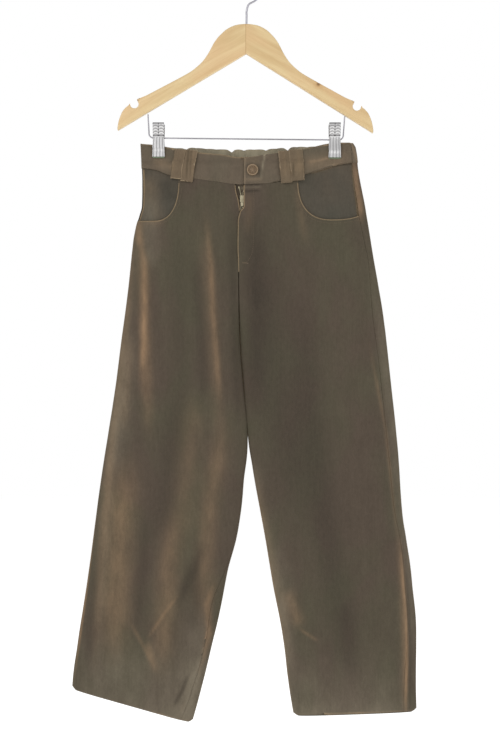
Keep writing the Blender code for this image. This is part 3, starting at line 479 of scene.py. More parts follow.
def gap_angle(leg, angle, z):
    """The angle that opens half a seam's gap at a seam."""
    step = 0.001
    moved = np.linalg.norm(leg_skin(leg, angle + step, z) - leg_skin(leg, angle, z), axis=-1)
    return np.minimum(HALF_GAP * step / np.maximum(moved, 1e-6), 0.02)


def side_seam(leg, z):
    return -inset_angle(leg, LEGS[leg].side_inset(z), z)


def side_x(leg, z, short=0.0):
    """Where the side seam runs, or a place short of it towards the centre."""
    return LEGS[leg].outer(z) - OUTWARD[leg] * (LEGS[leg].side_inset(z) + short)


def inseam(leg, z):
    """The angle at which the front panel starts, in front of the inner fold or on it."""
    return -math.pi + inset_angle(leg, LEGS[leg].inseam_inset(z), z)



def scoop_edge(leg, drop_columns, side_columns):
    """The scoop's edge as angles and heights: down from the waist seam, then across to the side seam."""
    scoop = SCOOPS[leg]
    turn = np.linspace(0, math.pi / 2, drop_columns + 1)[1:]
    x = scoop.start_x + (scoop.low_x - scoop.start_x) * (1 - np.cos(turn) ** (2 / SCOOP_POWER))
    z = scoop.start_z + (scoop.low_z - scoop.start_z) * np.sin(turn) ** (2 / SCOOP_POWER)
    low_angle = leg_angle(leg, scoop.low_x, scoop.low_z)
    rest = np.linspace(0, 1, side_columns + 1)[1:]
    angle = low_angle + (side_seam(leg, scoop.end_z) - low_angle) * rest
    rest_z = scoop.low_z + (scoop.end_z - scoop.low_z) * rest**2
    return np.concatenate([leg_angle(leg, x, z), angle]), np.concatenate([z, rest_z])


def lap(x, z):
    """How far the left front is lifted where it laps over the right front."""
    return LAP_RISE * smooth_step(LAP_NONE_X, LAP_FULL_X, x) * smooth_step(LAP_LOW_Z, LAP_HIGH_Z, z)


def hem_height(leg, angle):
    """The hem's height round a leg."""
    hem = HEMS[leg]
    across = (1 - np.cos(angle)) / 2
    width = abs(LEGS[leg].outer(hem.outer) - LEGS[leg].front_inner(hem.outer))
    corner = smooth_step(HEM_CORNER_WIDTH, 0, np.minimum(across, 1 - across) * width)
    swing = np.where(np.sin(angle) < 0, hem.front_rise, -hem.back_drop)
    middle = np.sqrt(np.abs(np.sin(angle)))
    return hem.outer + (hem.inner - hem.outer) * across + swing * middle + HEM_CORNER * corner


def between_edges(face, angle, row_shares):
    """Heights of a waistband's rows, from its top edge down to its seam."""
    edges = BAND[face]
    top = seam = np.full_like(angle, -310.0)
    for _ in range(4):
        top_x = body_skin(angle, top)[..., 0]
        top = edges.top(top_x)
        if face == "back":
            top = top + GATHER_RISE * puff(top_x) * pinch(top_x, -310.0)
        seam = edges.seam(body_skin(angle, seam)[..., 0])
    return top + (seam - top) * row_shares[:, None]


def skin_place(x, z, lift):
    """The matrix of a place on the front skin: its z axis points out of the cloth and its y axis up."""
    point = body_skin(body_angle(x, z), z)
    out = normals(BODY, body_angle(x, z), z, False)
    outward = Vector(out.tolist())
    across = Vector((0, 0, 1)).cross(outward).normalized()
    up = outward.cross(across)
    turned = Matrix((across, up, outward)).transposed().to_4x4()
    spot = Vector((point + out * lift).tolist()) * MM
    return Matrix.Translation(spot) @ turned


def arc(centre, radius, start, end, steps):
    """Points on an arc between two angles in degrees."""
    turns = np.radians(np.linspace(start, end, steps + 1))
    return [(centre[0] + radius * math.cos(turn), centre[1] + radius * math.sin(turn)) for turn in turns]


def lengths_along(points):
    """How far along a line each of its points lies."""
    return np.concatenate([[0], np.cumsum(np.linalg.norm(np.diff(points, axis=0), axis=1))])


PIXEL = 1.72
PHOTO_X = 247.0
PHOTO_Z = 22.5

# Small creases pressed into the cloth, and the painted highlights and shade on its pile, as lines through
# pixels of the photograph
Stroke = namedtuple("Stroke", "half_width amount line")
CREASES = {
    "front": (
        Stroke(2.2, 1.3, ((178.6, 593.6), (163, 615), (148, 637))),
        Stroke(2.2, 1.1, ((131.4, 621.6), (142, 640), (154.4, 665))),
        Stroke(2.4, 1.8, ((214.3, 584), (205.8, 604), (208, 629), (204, 655), (196.8, 674), (197.5, 688))),
        Stroke(2.4, 2.0, ((197.5, 688), (189, 696), (181, 706), (177, 717))),
        Stroke(2.0, -1.7, ((189, 674), (182, 688), (173.5, 704.6))),
        Stroke(2.4, 0.9, ((156.4, 666), (156, 690), (156, 711))),
        Stroke(5.0, -2.0, ((201, 553), (191, 574), (181, 592))),
        Stroke(3.0, 1.0, ((284, 596), (291, 612), (299, 627))),
        Stroke(1.8, 1.0, ((299, 628), (308, 633), (317, 638))),
        Stroke(2.4, 0.6, ((342, 642), (359, 642))),
        Stroke(3.0, 1.6, ((208, 225), (212.7, 273), (213.4, 310), (217.6, 353), (222.2, 390), (223.5, 430))),
        Stroke(3.6, 1.4, ((150, 225), (144.5, 262), (143.6, 300), (145, 340), (147, 380))),
        Stroke(1.4, 0.6, ((245, 179.4), (262, 178.6))),
        Stroke(1.4, -0.7, ((245, 184.4), (262, 183.6))),
        Stroke(2.0, 0.9, ((272, 172.6), (281, 171.4))),
        Stroke(3.2, 1.0, ((311, 165.4), (330, 161.8), (357, 160.2))),
        Stroke(2.0, 0.8, ((343, 153), (350, 151.2), (356, 151.6))),
    ),
    "back": (
        Stroke(5.0, 1.4, ((300, 240), (322, 286), (330, 330))),
        Stroke(5.0, 1.4, ((170, 232), (162, 280), (160, 340))),
        Stroke(3.2, 1.4, ((224, 290), (196, 326), (150, 352))),
        Stroke(3.2, 1.4, ((272, 296), (300, 332), (346, 356))),
        Stroke(3.6, -1.2, ((262, 300), (286, 352), (312, 420))),
        Stroke(3.6, -1.2, ((230, 300), (206, 352), (176, 424))),
        Stroke(3.0, 1.2, ((120, 566), (160, 588), (196, 604))),
        Stroke(3.0, -1.2, ((124, 600), (158, 584), (188, 560))),
        Stroke(3.0, 1.2, ((300, 560), (340, 570), (384, 588))),
        Stroke(3.0, 1.0, ((306, 642), (344, 634), (380, 622))),
        Stroke(2.6, 1.0, ((140, 650), (166, 664), (190, 684))),
    ),
}

# The outer fold of the right leg, with a painted highlight of sheen along its length
SHEEN_LIT_FOLD = ((137, 190), (131, 260), (125, 330), (118, 400), (110, 470), (102, 560), (92, 690))

# Painted light and shade on the pile. Warm: painted highlights along fold ridges, seams and rims, partly a
# warmer nap.
# Pale: painted light of sheen and haze. Deep: painted shade in folds, creases and seams, partly a darker nap.
WARM_HIGHLIGHTS_AND_NAP = {
    "front": (
        Stroke(3.4, 0.5, ((132, 212), (140, 240), (145.4, 262), (145.4, 300), (144, 345), (142, 400))),
        Stroke(5.5, 0.34, ((138, 212), (143, 262), (145, 320), (147, 372), (150, 450))),
        Stroke(4.5, 0.45, SHEEN_LIT_FOLD),
        Stroke(3.0, 0.42, ((205, 205), (211, 260), (213.2, 310), (217.6, 370), (222, 420))),
        Stroke(7, 0.16, ((202, 215), (209, 290), (214, 370), (221, 440))),
        Stroke(9, 0.3, ((223, 395), (219, 450), (210, 505), (205, 570), (200, 640))),
        Stroke(12, 0.18, ((196, 380), (190, 440), (184, 500), (176, 560))),
        Stroke(14, 0.42, ((128, 440), (121, 520), (118, 580), (112, 680))),
        Stroke(10, 0.34, ((176, 500), (170, 560), (166, 610), (160, 690))),
        Stroke(1.6, 0.3, ((181, 590), (163, 615), (146, 640))),
        Stroke(1.6, 0.28, ((129, 617), (142, 640), (156.4, 669))),
        Stroke(3.4, 0.35, ((146, 636), (152, 655), (158, 674))),
        Stroke(3.2, 0.55, ((216, 576), (207.6, 604), (209.6, 632), (205, 655))),
        Stroke(2.2, 0.6, ((209, 622), (204, 655), (196.8, 676), (193, 692), (184, 706), (176, 722))),
        Stroke(6.5, 0.32, ((284, 584), (291, 604), (301, 630))),
        Stroke(1.6, 0.3, ((297, 626), (308, 633), (319, 640))),
        Stroke(1.5, 0.8, ((398, 520), (402, 575), (405, 612), (406, 650), (405, 690), (404.4, 740))),
        Stroke(3.4, 0.35, ((396, 520), (402, 590), (404, 660), (403, 740))),
        Stroke(1.6, 0.24, ((366, 330), (385, 430), (399, 560))),
        Stroke(4, 0.14, ((249, 190), (249, 206), (248, 240))),
        Stroke(1.2, 0.5, ((240, 181.8), (252, 181.4), (264, 180.8))),
        Stroke(3, 0.35, ((238, 159), (250, 163), (262, 162))),
        Stroke(4, 0.12, ((296, 180), (299, 208), (306, 250))),
        Stroke(4, 0.4, ((138, 210), (139.5, 228), (141, 250))),
        Stroke(5, 0.25, ((252, 450), (262, 520), (280, 600), (292, 690))),
        Stroke(5, 0.3, ((131, 330), (127, 380), (122, 440))),
        Stroke(6, 0.6, ((150, 161), (163, 164), (178, 170))),
        Stroke(8, 0.5, ((276, 174), (300, 168), (330, 160), (362, 156))),
        Stroke(1.3, 0.7, ((304, 164), (320, 160.6), (334, 156.6))),
        Stroke(1.2, 0.7, ((306, 175.4), (324, 169.4), (342, 163))),
        Stroke(1.5, 0.7, ((350.6, 142), (355, 154), (359, 166))),
        Stroke(1.8, 0.35, ((195, 134), (192.8, 170), (192, 184))),
        Stroke(1.6, 0.3, ((282.6, 134), (284.4, 168), (285, 184))),
        Stroke(1.6, 0.3, ((296.4, 134), (299, 168), (299.6, 183))),
        Stroke(3.4, 0.7, ((353, 156), (357, 190), (362, 228))),
        Stroke(8, 0.7, ((146, 172), (149, 200), (156, 232))),
        Stroke(1.2, 0.7, ((252, 462), (265.5, 542.8), (283, 632.5), (292.4, 712))),
        Stroke(1.2, 0.6, ((98, 500), (88.3, 580.6), (73, 690))),
        Stroke(1.3, 0.6, ((74, 692), (130, 706.5), (190, 720))),
    ),
    "back": (
        Stroke(9, 0.24, ((150, 200), (142, 330), (128, 500), (110, 700))),
        Stroke(7, 0.26, ((352, 210), (356, 320), (380, 480), (398, 640))),
        Stroke(5, 0.26, ((214, 250), (206, 380), (190, 520))),
        Stroke(6, 0.22, ((284, 280), (300, 430), (320, 560), (336, 700))),
        Stroke(12, 0.2, ((186, 540), (170, 600), (150, 690))),
        Stroke(14, 0.16, ((316, 500), (330, 600), (340, 690))),
    ),
}
# Pale painted light: sheen along the outer folds and edges, and haze near the hems
PALE_PAINTED_LIGHT = {
    "front": (
        Stroke(6.5, 0.3, SHEEN_LIT_FOLD),
        Stroke(4, 0.35, ((205, 640), (198, 670), (190, 700), (184, 722))),
        Stroke(6, 0.5, ((364, 212), (380, 320), (394, 430), (408, 560), (414, 720))),
        Stroke(1.0, 0.42, ((236, 189.6), (250, 189.2), (264, 188.6))),
        Stroke(20, 0.75, ((40, 708), (92, 716), (140, 722), (220, 730))),
        Stroke(30, 0.42, ((60, 660), (130, 680), (230, 690))),
        Stroke(12, 0.45, ((196, 590), (196, 640), (192, 700), (180, 760))),
        Stroke(16, 0.65, ((260, 716), (300, 718), (350, 720), (430, 712))),
        Stroke(30, 0.3, ((270, 676), (330, 690), (420, 690))),
        Stroke(9, 0.5, ((256, 500), (266, 570), (280, 640), (292, 760))),
        Stroke(7, 0.35, ((250, 440), (256, 500), (268, 580))),
        Stroke(9, 0.3, ((132, 316), (127, 370), (122, 430), (116, 486))),
        Stroke(8, 0.5, ((148, 186), (151, 230), (152, 276))),
        Stroke(9, 0.35, ((276, 530), (282, 600), (288, 700))),
        Stroke(0.9, 0.34, ((268.5, 152), (264.4, 158), (262.8, 167.2), (261.4, 174), (261.5, 184))),
    ),
    "back": (
        Stroke(12, 0.4, ((132, 240), (122, 400), (104, 560), (92, 700))),
        Stroke(12, 0.4, ((364, 240), (382, 400), (400, 560), (410, 700))),
        Stroke(22, 0.5, ((40, 708), (130, 714), (220, 724))),
        Stroke(20, 0.45, ((260, 712), (350, 716), (430, 708))),
    ),
}
# Painted shade in folds, creases, under the band's seam, beside the side seam and between the belt loops,
# partly a darker nap
SHADE_AND_DARK_NAP = {
    "front": (
        Stroke(1.0, 0.9, ((236, 193.4), (250, 193), (263, 192.4))),
        Stroke(1.0, 0.9, ((240, 186.6), (252, 186.2), (264, 185.6))),
        Stroke(2.2, 0.6, ((256, 166), (260.4, 173), (258, 181))),
        Stroke(9, 0.25, ((178, 200), (180, 300), (182, 400), (178, 470))),
        Stroke(7, 0.4, ((196, 230), (198, 290), (203, 350), (206, 430))),
        Stroke(12, 0.35, ((176, 380), (172, 440), (166, 500), (158, 560))),
        Stroke(5, 0.45, ((230, 190), (233, 280), (236, 380), (240, 450))),
        Stroke(4.5, 0.5, ((205, 536), (195, 566), (184, 590), (176, 612))),
        Stroke(6, 0.35, ((198, 556), (196, 600), (192, 640))),
        Stroke(5, 0.4, ((104, 520), (97, 575), (91, 640), (88, 690))),
        Stroke(6, 0.35, ((148, 490), (144, 560), (138, 620), (134, 650))),
        Stroke(2.0, 0.6, ((190, 668), (183, 688), (172, 708))),
        Stroke(22, 0.42, ((262, 190), (264, 280), (272, 380), (290, 470), (310, 560))),
        Stroke(16, 0.42, ((300, 240), (304, 320), (308, 400), (322, 500), (340, 620), (346, 700))),
        Stroke(10, 0.4, ((252, 180), (256, 300), (254, 380), (256, 440))),
        Stroke(10, 0.3, ((344, 590), (348, 640), (350, 690))),
        Stroke(1.0, 0.7, ((190, 134), (187.6, 168), (186.6, 186))),
        Stroke(0.8, 0.5, ((193, 134), (191, 168), (190, 186))),
        Stroke(0.9, 0.8, ((292.6, 162), (293, 172), (293.4, 182))),
        Stroke(7, 0.5, ((163, 176), (168, 192), (175, 206))),
        Stroke(1.8, 0.5, ((402.6, 540), (408, 612), (409.4, 650), (408.6, 700), (408, 740))),
    ),
    "back": (
        Stroke(6, 0.3, ((206, 560), (192, 620), (184, 700))),
        Stroke(14, 0.4, ((180, 220), (168, 380), (150, 540), (130, 690))),
        Stroke(14, 0.4, ((314, 220), (326, 380), (342, 540), (362, 690))),
        Stroke(8, 0.4, ((247, 200), (247, 320), (247, 420))),
    ),
}
# All the painted light and shade, by the name of the grid on the cloth that carries it
LIGHT_AND_SHADE_MARKS = {"warm": WARM_HIGHLIGHTS_AND_NAP, "pale": PALE_PAINTED_LIGHT, "deep": SHADE_AND_DARK_NAP}
MARK_FADE = 0.3


# Small sewing
ROLL = 2.4
THREAD = 0.55
STITCH = 2.6
STITCH_GAP = 1.0
BAND_STITCH = 3.4
SCOOP_STITCH = 5.2
BAND_ROLL_ENDS = {"right": (-180, -7), "left": (-3, 180)}
BAND_STITCH_ENDS = {"right": (-182, 8), "left": (14, 192)}
FLY_STITCHES = ((253.5, 184), (253.8, 215), (253.5, 240), (252, 254), (248, 262), (241.5, 266))
FLY_TACK = ((241, 263.2), (249, 264.2))
TOOTH_PITCH = 2.1
SEAM_TUCK = 0.7
LOOP_FULL = 1.6
FLY_ROLL = 2.0
FLY_ROLL_TOP_Z = -360.6
BAND_ROLL = 2.0
SHIELD_CLOTH = 1.0
BAR_LEFT_IN = 2.8
PLATE_SHORT = 2.4
FACING_ROLL = 3.0

# Clips: pressed arches on the grip, grooves below them, and the coil spring
GRIP_HALF = 9.6
GRIP_LONG = 22.0
NECK_HALF = 9.2
ARCH_ROWS = (125.4, 128.1, 130.8, 133.5)
ARCH_DROP = 2.3
GRIP_TOP_PIXEL = 122.8
GROOVES = (-0.8, -0.27, 0.25, 0.75)
SPRING_WIRE = 1.4
SPRING_TURNS = 9


def on_cloth(line):
    """A line of photograph pixels as x and z in millimetres."""
    pixels = np.array(line, float)
    return np.stack([(pixels[:, 0] - PHOTO_X) * PIXEL, -(pixels[:, 1] + PHOTO_Z) * PIXEL], axis=-1)


def bell(stroke, x, z):
    """1 on a stroke's line, fading to 0 beside it and towards its ends."""
    nearest = np.full(np.broadcast(x, z).shape, np.inf)
    along = np.zeros(nearest.shape)
    points = on_cloth(stroke.line)
    reached = lengths_along(points)
    reached /= reached[-1]
    for index, (start, end) in enumerate(zip(points[:-1], points[1:])):
        way = end - start
        share = np.clip(((x - start[0]) * way[0] + (z - start[1]) * way[1]) / (way @ way), 0, 1)
        away = (x - start[0] - share * way[0]) ** 2 + (z - start[1] - share * way[1]) ** 2
        closer = away < nearest
        nearest = np.where(closer, away, nearest)
        along = np.where(closer, reached[index] + share * (reached[index + 1] - reached[index]), along)
    fade = smooth_step(0, MARK_FADE, along) * smooth_step(0, MARK_FADE, 1 - along)
    return np.exp(-nearest / (stroke.half_width * PIXEL) ** 2) * fade


def strokes_at(faces, front, x, z):
    """What the strokes of each face add up to at a place."""
    total = np.zeros(np.broadcast(x, z).shape)
    for face, strokes in faces.items():
        for stroke in strokes:
            total = total + stroke.amount * bell(stroke, x, z) * (front == (face == "front"))
    return total


def add_piece(name, mesh, finish, body, nodes, sharp):
    made = bpy.data.objects.new(name, mesh)
    bpy.context.scene.collection.objects.link(made)
    mesh.materials.append(finish)
    mesh.shade_smooth()
    mesh.set_sharp_from_angle(angle=math.radians(sharp))
    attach(made, body)
    if nodes:
        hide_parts(*nodes)
    return made


def piece(name, shape, finish, slot, nodes=(), body="trousers", sharp=50):
    """A visible piece from a bmesh in millimetres, its faces outwards."""
    bmesh.ops.recalc_face_normals(shape, faces=shape.faces)
    bmesh.ops.scale(shape, vec=(MM, MM, MM), verts=shape.verts)
    mesh = bpy.data.meshes.new(name)
    shape.to_mesh(mesh)
    shape.free()
    return add_piece(name, mesh, finish, body, nodes, sharp)


def rim_edges(shape, lining):
    """The edges at which a wall's two faces meet its rim."""
    rims = []
    for edge in shape.edges:
        kinds = []
        for face in edge.link_faces:
            inside = sum(vertex in lining for vertex in face.verts)
            kinds.append("rim" if 0 < inside < len(face.verts) else "face")
        if sorted(kinds) == ["face", "rim"]:
            rims.append(edge)
    return rims


def soften(shape, edges, width, segments):
    """Rounds edges with a narrow bevel."""
    bmesh.ops.bevel(
        shape, geom=edges, offset=width, offset_type="OFFSET", segments=segments, profile=0.5,
        affect="EDGES", clamp_overlap=True, material=-1,
    )


def wall(outer, inner, soft_edge, values, inside=None):
    """A closed wall between two grids of points, with rounded edges. It keeps grids of values by name."""
    rows, across = outer.shape[:2]
    shape = bmesh.new()
    bmesh.ops.create_grid(shape, x_segments=across - 1, y_segments=rows - 1, size=0.5)
    shape.verts.layers.int.new("place")
    layers = {name: shape.verts.layers.float.new(name) for name in values}
    # Adding a layer can move those before it, so that this one is looked up after them
    place = shape.verts.layers.int["place"]
    for vertex in shape.verts:
        column = round((vertex.co.x + 0.5) * (across - 1))
        row = round((vertex.co.y + 0.5) * (rows - 1))
        vertex[place] = row * across + column
    backed = bmesh.ops.extrude_face_region(shape, geom=shape.faces[:], use_keep_orig=True)
    lining = {item for item in backed["geom"] if isinstance(item, bmesh.types.BMVert)}
    edges = rim_edges(shape, lining)
    outer, inner = outer.reshape(-1, 3), inner.reshape(-1, 3)
    flat = {name: np.broadcast_to(grid, (rows, across)).reshape(-1) for name, grid in values.items()}
    for vertex in shape.verts:
        at = vertex[place]
        vertex.co = (inner if vertex in lining else outer)[at]
        for name, layer in layers.items():
            vertex[layer] = flat[name][at] + (vertex in lining) * (inside or {}).get(name, 0.0)
    soften(shape, edges, soft_edge, 2)
    return shape


def cloth_face(skin, angle, z, lift=0.0, split=False, creased=True):
    """Points of a cloth's outer face, its unit normals, and whether each point is in front."""
    points = skin.at(angle, z)
    out = normals(skin, angle, z, split)
    front = np.sin(angle) < 0
    height = np.broadcast_to(lift, angle.shape) + 0.0
    if creased:
        height = height + strokes_at(CREASES, front, points[..., 0], points[..., 2])
    return points + out * height[..., None], out, front


def borders(shape, first_row=0.0, last_row=0.0, first_column=0.0, last_column=0.0):
    """A grid that is 0 but for its four borders."""
    grid = np.zeros(shape)
    grid[:, 0], grid[:, -1] = first_column, last_column
    grid[0], grid[-1] = np.maximum(grid[0], first_row), np.maximum(grid[-1], last_row)
    return grid


def cut_size(grid):
    """Width, length and area in metres of a grid of points laid flat."""
    across = np.linalg.norm(np.diff(grid, axis=1), axis=-1)
    down = np.linalg.norm(np.diff(grid, axis=0), axis=-1)
    first, second = grid[1:, 1:] - grid[:-1, :-1], grid[1:, :-1] - grid[:-1, 1:]
    area = np.linalg.norm(np.cross(first, second), axis=-1).sum() / 2
    return across.sum(axis=1).max() * MM, down.sum(axis=0).max() * MM, area * MM**2


def cloth(
    node, skin, angle, z, finish, thickness, lift=0.0, split=False, creased=True, soft_edge=0.8,
    edge=None, slot="velvet", inside=None, nodes=None,
):
    """The fine piece of cloth that stands for a node, fuller where it is gathered."""
    outer, out, front = cloth_face(skin, angle, z, lift, split, creased)
    values = {tone: strokes_at(faces, front, outer[..., 0], outer[..., 2]) for tone, faces in LIGHT_AND_SHADE_MARKS.items()}
    # The edge grid is a painted highlight along a piece's rims and hems
    values["edge"] = np.zeros(angle.shape) if edge is None else edge
    shape = wall(outer, outer - out * thickness, soft_edge, values, inside)
    made = piece(f"{node}_cloth", shape, finish, slot, (node,) if nodes is None else nodes)
    width, length, area = cut_size(outer)
    return made


# Shaders. A velvet has two near tones of its own, two for its painted highlights (warm and pale), one for its
# painted shade (deep) and one for the painted highlight along its rims. Each of the last four shows where a
# grid of values on the cloth's points says so.
TONES = ("Brown", "Olive", "Warm", "Pale", "Deep", "Rim")
GRIDS = {"Warm": "warm", "Pale": "pale", "Deep": "deep", "Rim": "edge"}


def new_group(name, inputs, outputs):
    """An empty shader group with its sockets by kind, its input node and its output node."""
    tree = bpy.data.node_groups.new(name, "ShaderNodeTree")
    for in_out, sockets in (("INPUT", inputs), ("OUTPUT", outputs)):
        for kind, titles in sockets.items():
            for title in titles:
                tree.interface.new_socket(name=title, in_out=in_out, socket_type=f"NodeSocket{kind}")
    return tree, tree.nodes.new("NodeGroupInput"), tree.nodes.new("NodeGroupOutput")


class Wiring:
    """Adds nodes to a node tree and links them as it goes. A link is given as (node, socket name)."""

    def __init__(self, tree):
        self.tree = tree

    def set(self, made, inputs):
        for key, value in inputs.items():
            if isinstance(value, bpy.types.NodeSocket):
                self.tree.links.new(value, made.inputs[key])
            else:
                made.inputs[key].default_value = value
        return made

    def noise(self, place, scale, detail=3.0, roughness=0.55, distortion=0.0):
        made = self.tree.nodes.new("ShaderNodeTexNoise")
        self.set(made, {"Vector": place, "Scale": scale, "Detail": detail})
        return self.set(made, {"Roughness": roughness, "Distortion": distortion}).outputs["Fac"]

    def stretch(self, place, scale):
        made = self.tree.nodes.new("ShaderNodeMapping")
        return self.set(made, {"Vector": place, "Scale": scale}).outputs["Vector"]

    def math(self, operation, a, b=0.0, clamp=False):
        made = self.tree.nodes.new("ShaderNodeMath")
        made.operation = operation
        made.use_clamp = clamp
        return self.set(made, {0: a, 1: b}).outputs[0]

    def sum(self, a, b):
        return self.math("ADD", a, b)

    def less(self, a, b):
        return self.math("SUBTRACT", a, b)

    def product(self, a, b):
        return self.math("MULTIPLY", a, b)

    def range(self, value, low, high, to_low=0.0, to_high=1.0):
        made = self.tree.nodes.new("ShaderNodeMapRange")
        values = {"Value": value, "From Min": low, "From Max": high, "To Min": to_low, "To Max": to_high}
        return self.set(made, values).outputs["Result"]

    def mix(self, factor, a, b):
        made = self.tree.nodes.new("ShaderNodeMix")
        made.data_type = "RGBA"
        made.clamp_factor = True
        return self.set(made, {0: factor, 6: a, 7: b}).outputs[2]

    def attribute(self, name):
        made = self.tree.nodes.new("ShaderNodeAttribute")
        made.attribute_name = name
        return made.outputs["Fac"]

    def group(self, tree, inputs):
        made = self.tree.nodes.new("ShaderNodeGroup")
        made.node_tree = tree
        return self.set(made, inputs)

    def bump(self, height, strength, distance):
        made = self.tree.nodes.new("ShaderNodeBump")
        self.set(made, {"Height": height, "Strength": strength, "Distance": distance})
        return made.outputs["Normal"]


def pile_group():
    """Cut pile: two near tones in large clouds, faint streaks down its nap, specks, and the painted
    highlights and shade on it.
    """
    tree, start, end = new_group(
        "pile",
        {
            "Vector": ["Place"],
            "Color": TONES,
            "Float": [f"{title} Amount" for title in GRIDS] + ["Clouds", "Streaks", "Specks"],
        },
        {"Color": ["Colour"], "Float": ["Height"]},
    )
    wires = Wiring(tree)
    given = start.outputs
    place = given["Place"]
    broad = wires.noise(wires.stretch(place, (1, 1, 0.5)), 14.0, 2.0, 0.5, 0.3)
    clouds = wires.noise(wires.stretch(place, (1, 1, 0.4)), 55.0, 3.0, 0.6)
    streaks = wires.noise(wires.stretch(place, (1, 1, 0.07)), 320.0, 2.0, 0.6)
    specks = wires.noise(place, 900.0, 2.0, 0.7)
    mottle = wires.noise(wires.stretch(place, (1, 1, 0.6)), 230.0, 3.0, 0.65)
    colour = wires.mix(wires.range(broad, 0.35, 0.65), given["Brown"], given["Olive"])
    uneven = wires.range(clouds, 0.3, 0.7, 0.7, 1.2)
    for title in ("Warm", "Pale", "Deep"):
        amount = wires.math("MULTIPLY", given[f"{title} Amount"], uneven, clamp=True)
        colour = wires.mix(amount, colour, given[title])
    colour = wires.mix(given["Rim Amount"], colour, given["Rim"])
    shade = wires.product(wires.less(clouds, 0.5), given["Clouds"])
    lines = wires.product(wires.less(streaks, 0.5), given["Streaks"])
    grain = wires.product(wires.less(wires.sum(specks, mottle), 1.0), given["Specks"])
    shade = wires.sum(wires.sum(shade, lines), wires.sum(grain, 1.0))
    scaled = tree.nodes.new("ShaderNodeVectorMath")
    scaled.operation = "SCALE"
    wires.set(scaled, {0: colour, "Scale": shade})
    tree.links.new(scaled.outputs[0], end.inputs["Colour"])
    height = wires.sum(wires.sum(specks, wires.product(streaks, 0.5)), wires.product(clouds, 0.8))
    tree.links.new(height, end.inputs["Height"])
    return tree


def srgb(red, green, blue):
    """A linear colour from a screen colour of 0 to 255."""
    parts = [value / 255 for value in (red, green, blue)]
    linear = [part / 12.92 if part <= 0.04045 else ((part + 0.055) / 1.055) ** 2.4 for part in parts]
    return (*linear, 1.0)


def new_material(name):
    made = bpy.data.materials.new(name)
    made.use_nodes = True
    shader = made.node_tree.nodes["Principled BSDF"]
    place = made.node_tree.nodes.new("ShaderNodeTexCoord").outputs["Object"]
    return made, Wiring(made.node_tree), shader, place


# Each velvet's own brown and olive, then its painted highlight colours (warm, pale, rim) and its painted
# shade colour (deep)
Velvet = namedtuple("Velvet", "name brown olive warm pale deep rim")
VELVETS = (
    Velvet(
        "panels", (84, 74, 64), (83, 78, 64), (142, 116, 90), (116, 107, 92), (60, 54, 47), (134, 118, 96),
    ),
    Velvet(
        "band", (101, 90, 77), (97, 90, 76), (132, 114, 93), (172, 162, 138), (70, 64, 55), (156, 138, 114),
    ),
    Velvet(
        "loops", (112, 97, 79), (106, 94, 77), (130, 111, 88), (132, 120, 98), (76, 67, 54), (146, 129, 106),
    ),
    Velvet(
        "facing", (86, 79, 69), (80, 77, 68), (112, 98, 80), (100, 98, 88), (60, 58, 51), (128, 112, 88),
    ),
    # The rolled edges' velvet is lighter than the panels': a painted highlight along the rolls
    Velvet(
        "rolled_edge", (132, 114, 90), (124, 110, 88), (150, 128, 98),
        (140, 128, 108), (90, 80, 62), (150, 132, 104),
    ),
    Velvet(
        "tape", (70, 62, 52), (66, 62, 52), (90, 78, 62), (84, 78, 66), (44, 40, 36), (84, 76, 62),
    ),
)


def velvet(pile, row):
    made, wires, shader, place = new_material(f"velvet_{row.name}")
    inputs = {"Place": place, "Clouds": 0.24, "Streaks": 0.16, "Specks": 0.34}
    inputs.update({title: srgb(*getattr(row, title.lower())) for title in TONES})
    inputs.update({f"{title} Amount": wires.attribute(grid) for title, grid in GRIDS.items()})
    tone = wires.group(pile, inputs)
    wires.set(shader, {
        "Base Color": tone.outputs["Colour"], "Roughness": 0.95, "Specular IOR Level": 0.1,
        "Sheen Weight": 0.4, "Sheen Roughness": 0.35, "Sheen Tint": srgb(205, 180, 145),
        "Normal": wires.bump(tone.outputs["Height"], 0.4, 0.0005),
    })
    return made


def matte(name, colour, darker, roughness=0.5):
    """A plain moulded or sewn finish with a fine uneven surface."""
    made, wires, shader, place = new_material(name)
    fine = wires.noise(place, 800.0, 3.0, 0.6)
    wires.set(shader, {
        "Base Color": wires.mix(fine, srgb(*darker), srgb(*colour)), "Roughness": roughness,
        "Normal": wires.bump(fine, 0.25, 0.0002),
    })
    return made


def metal(name, colour, roughness, painted_shade=(84, 80, 80)):
    """Plated or bare metal with fine scratches; painted shade darkens its pressed marks."""
    made, wires, shader, place = new_material(name)
    fine = wires.noise(wires.stretch(place, (1, 1, 0.3)), 700.0, 3.0, 0.6)
    broad = wires.noise(place, 60.0, 2.0, 0.5)
    worn = tuple(part * 0.86 for part in colour)
    tone = wires.mix(broad, srgb(*worn), srgb(*colour))
    # The deep grid carries painted shade in pressed grooves and arches
    tone = wires.mix(wires.attribute("deep"), tone, srgb(*painted_shade))
    rough = wires.range(fine, 0.2, 0.8, roughness * 0.85, roughness * 1.25)
    wires.set(shader, {
        "Base Color": tone, "Metallic": 1.0, "Roughness": rough, "Normal": wires.bump(fine, 0.08, 0.0001),
    })
    return made


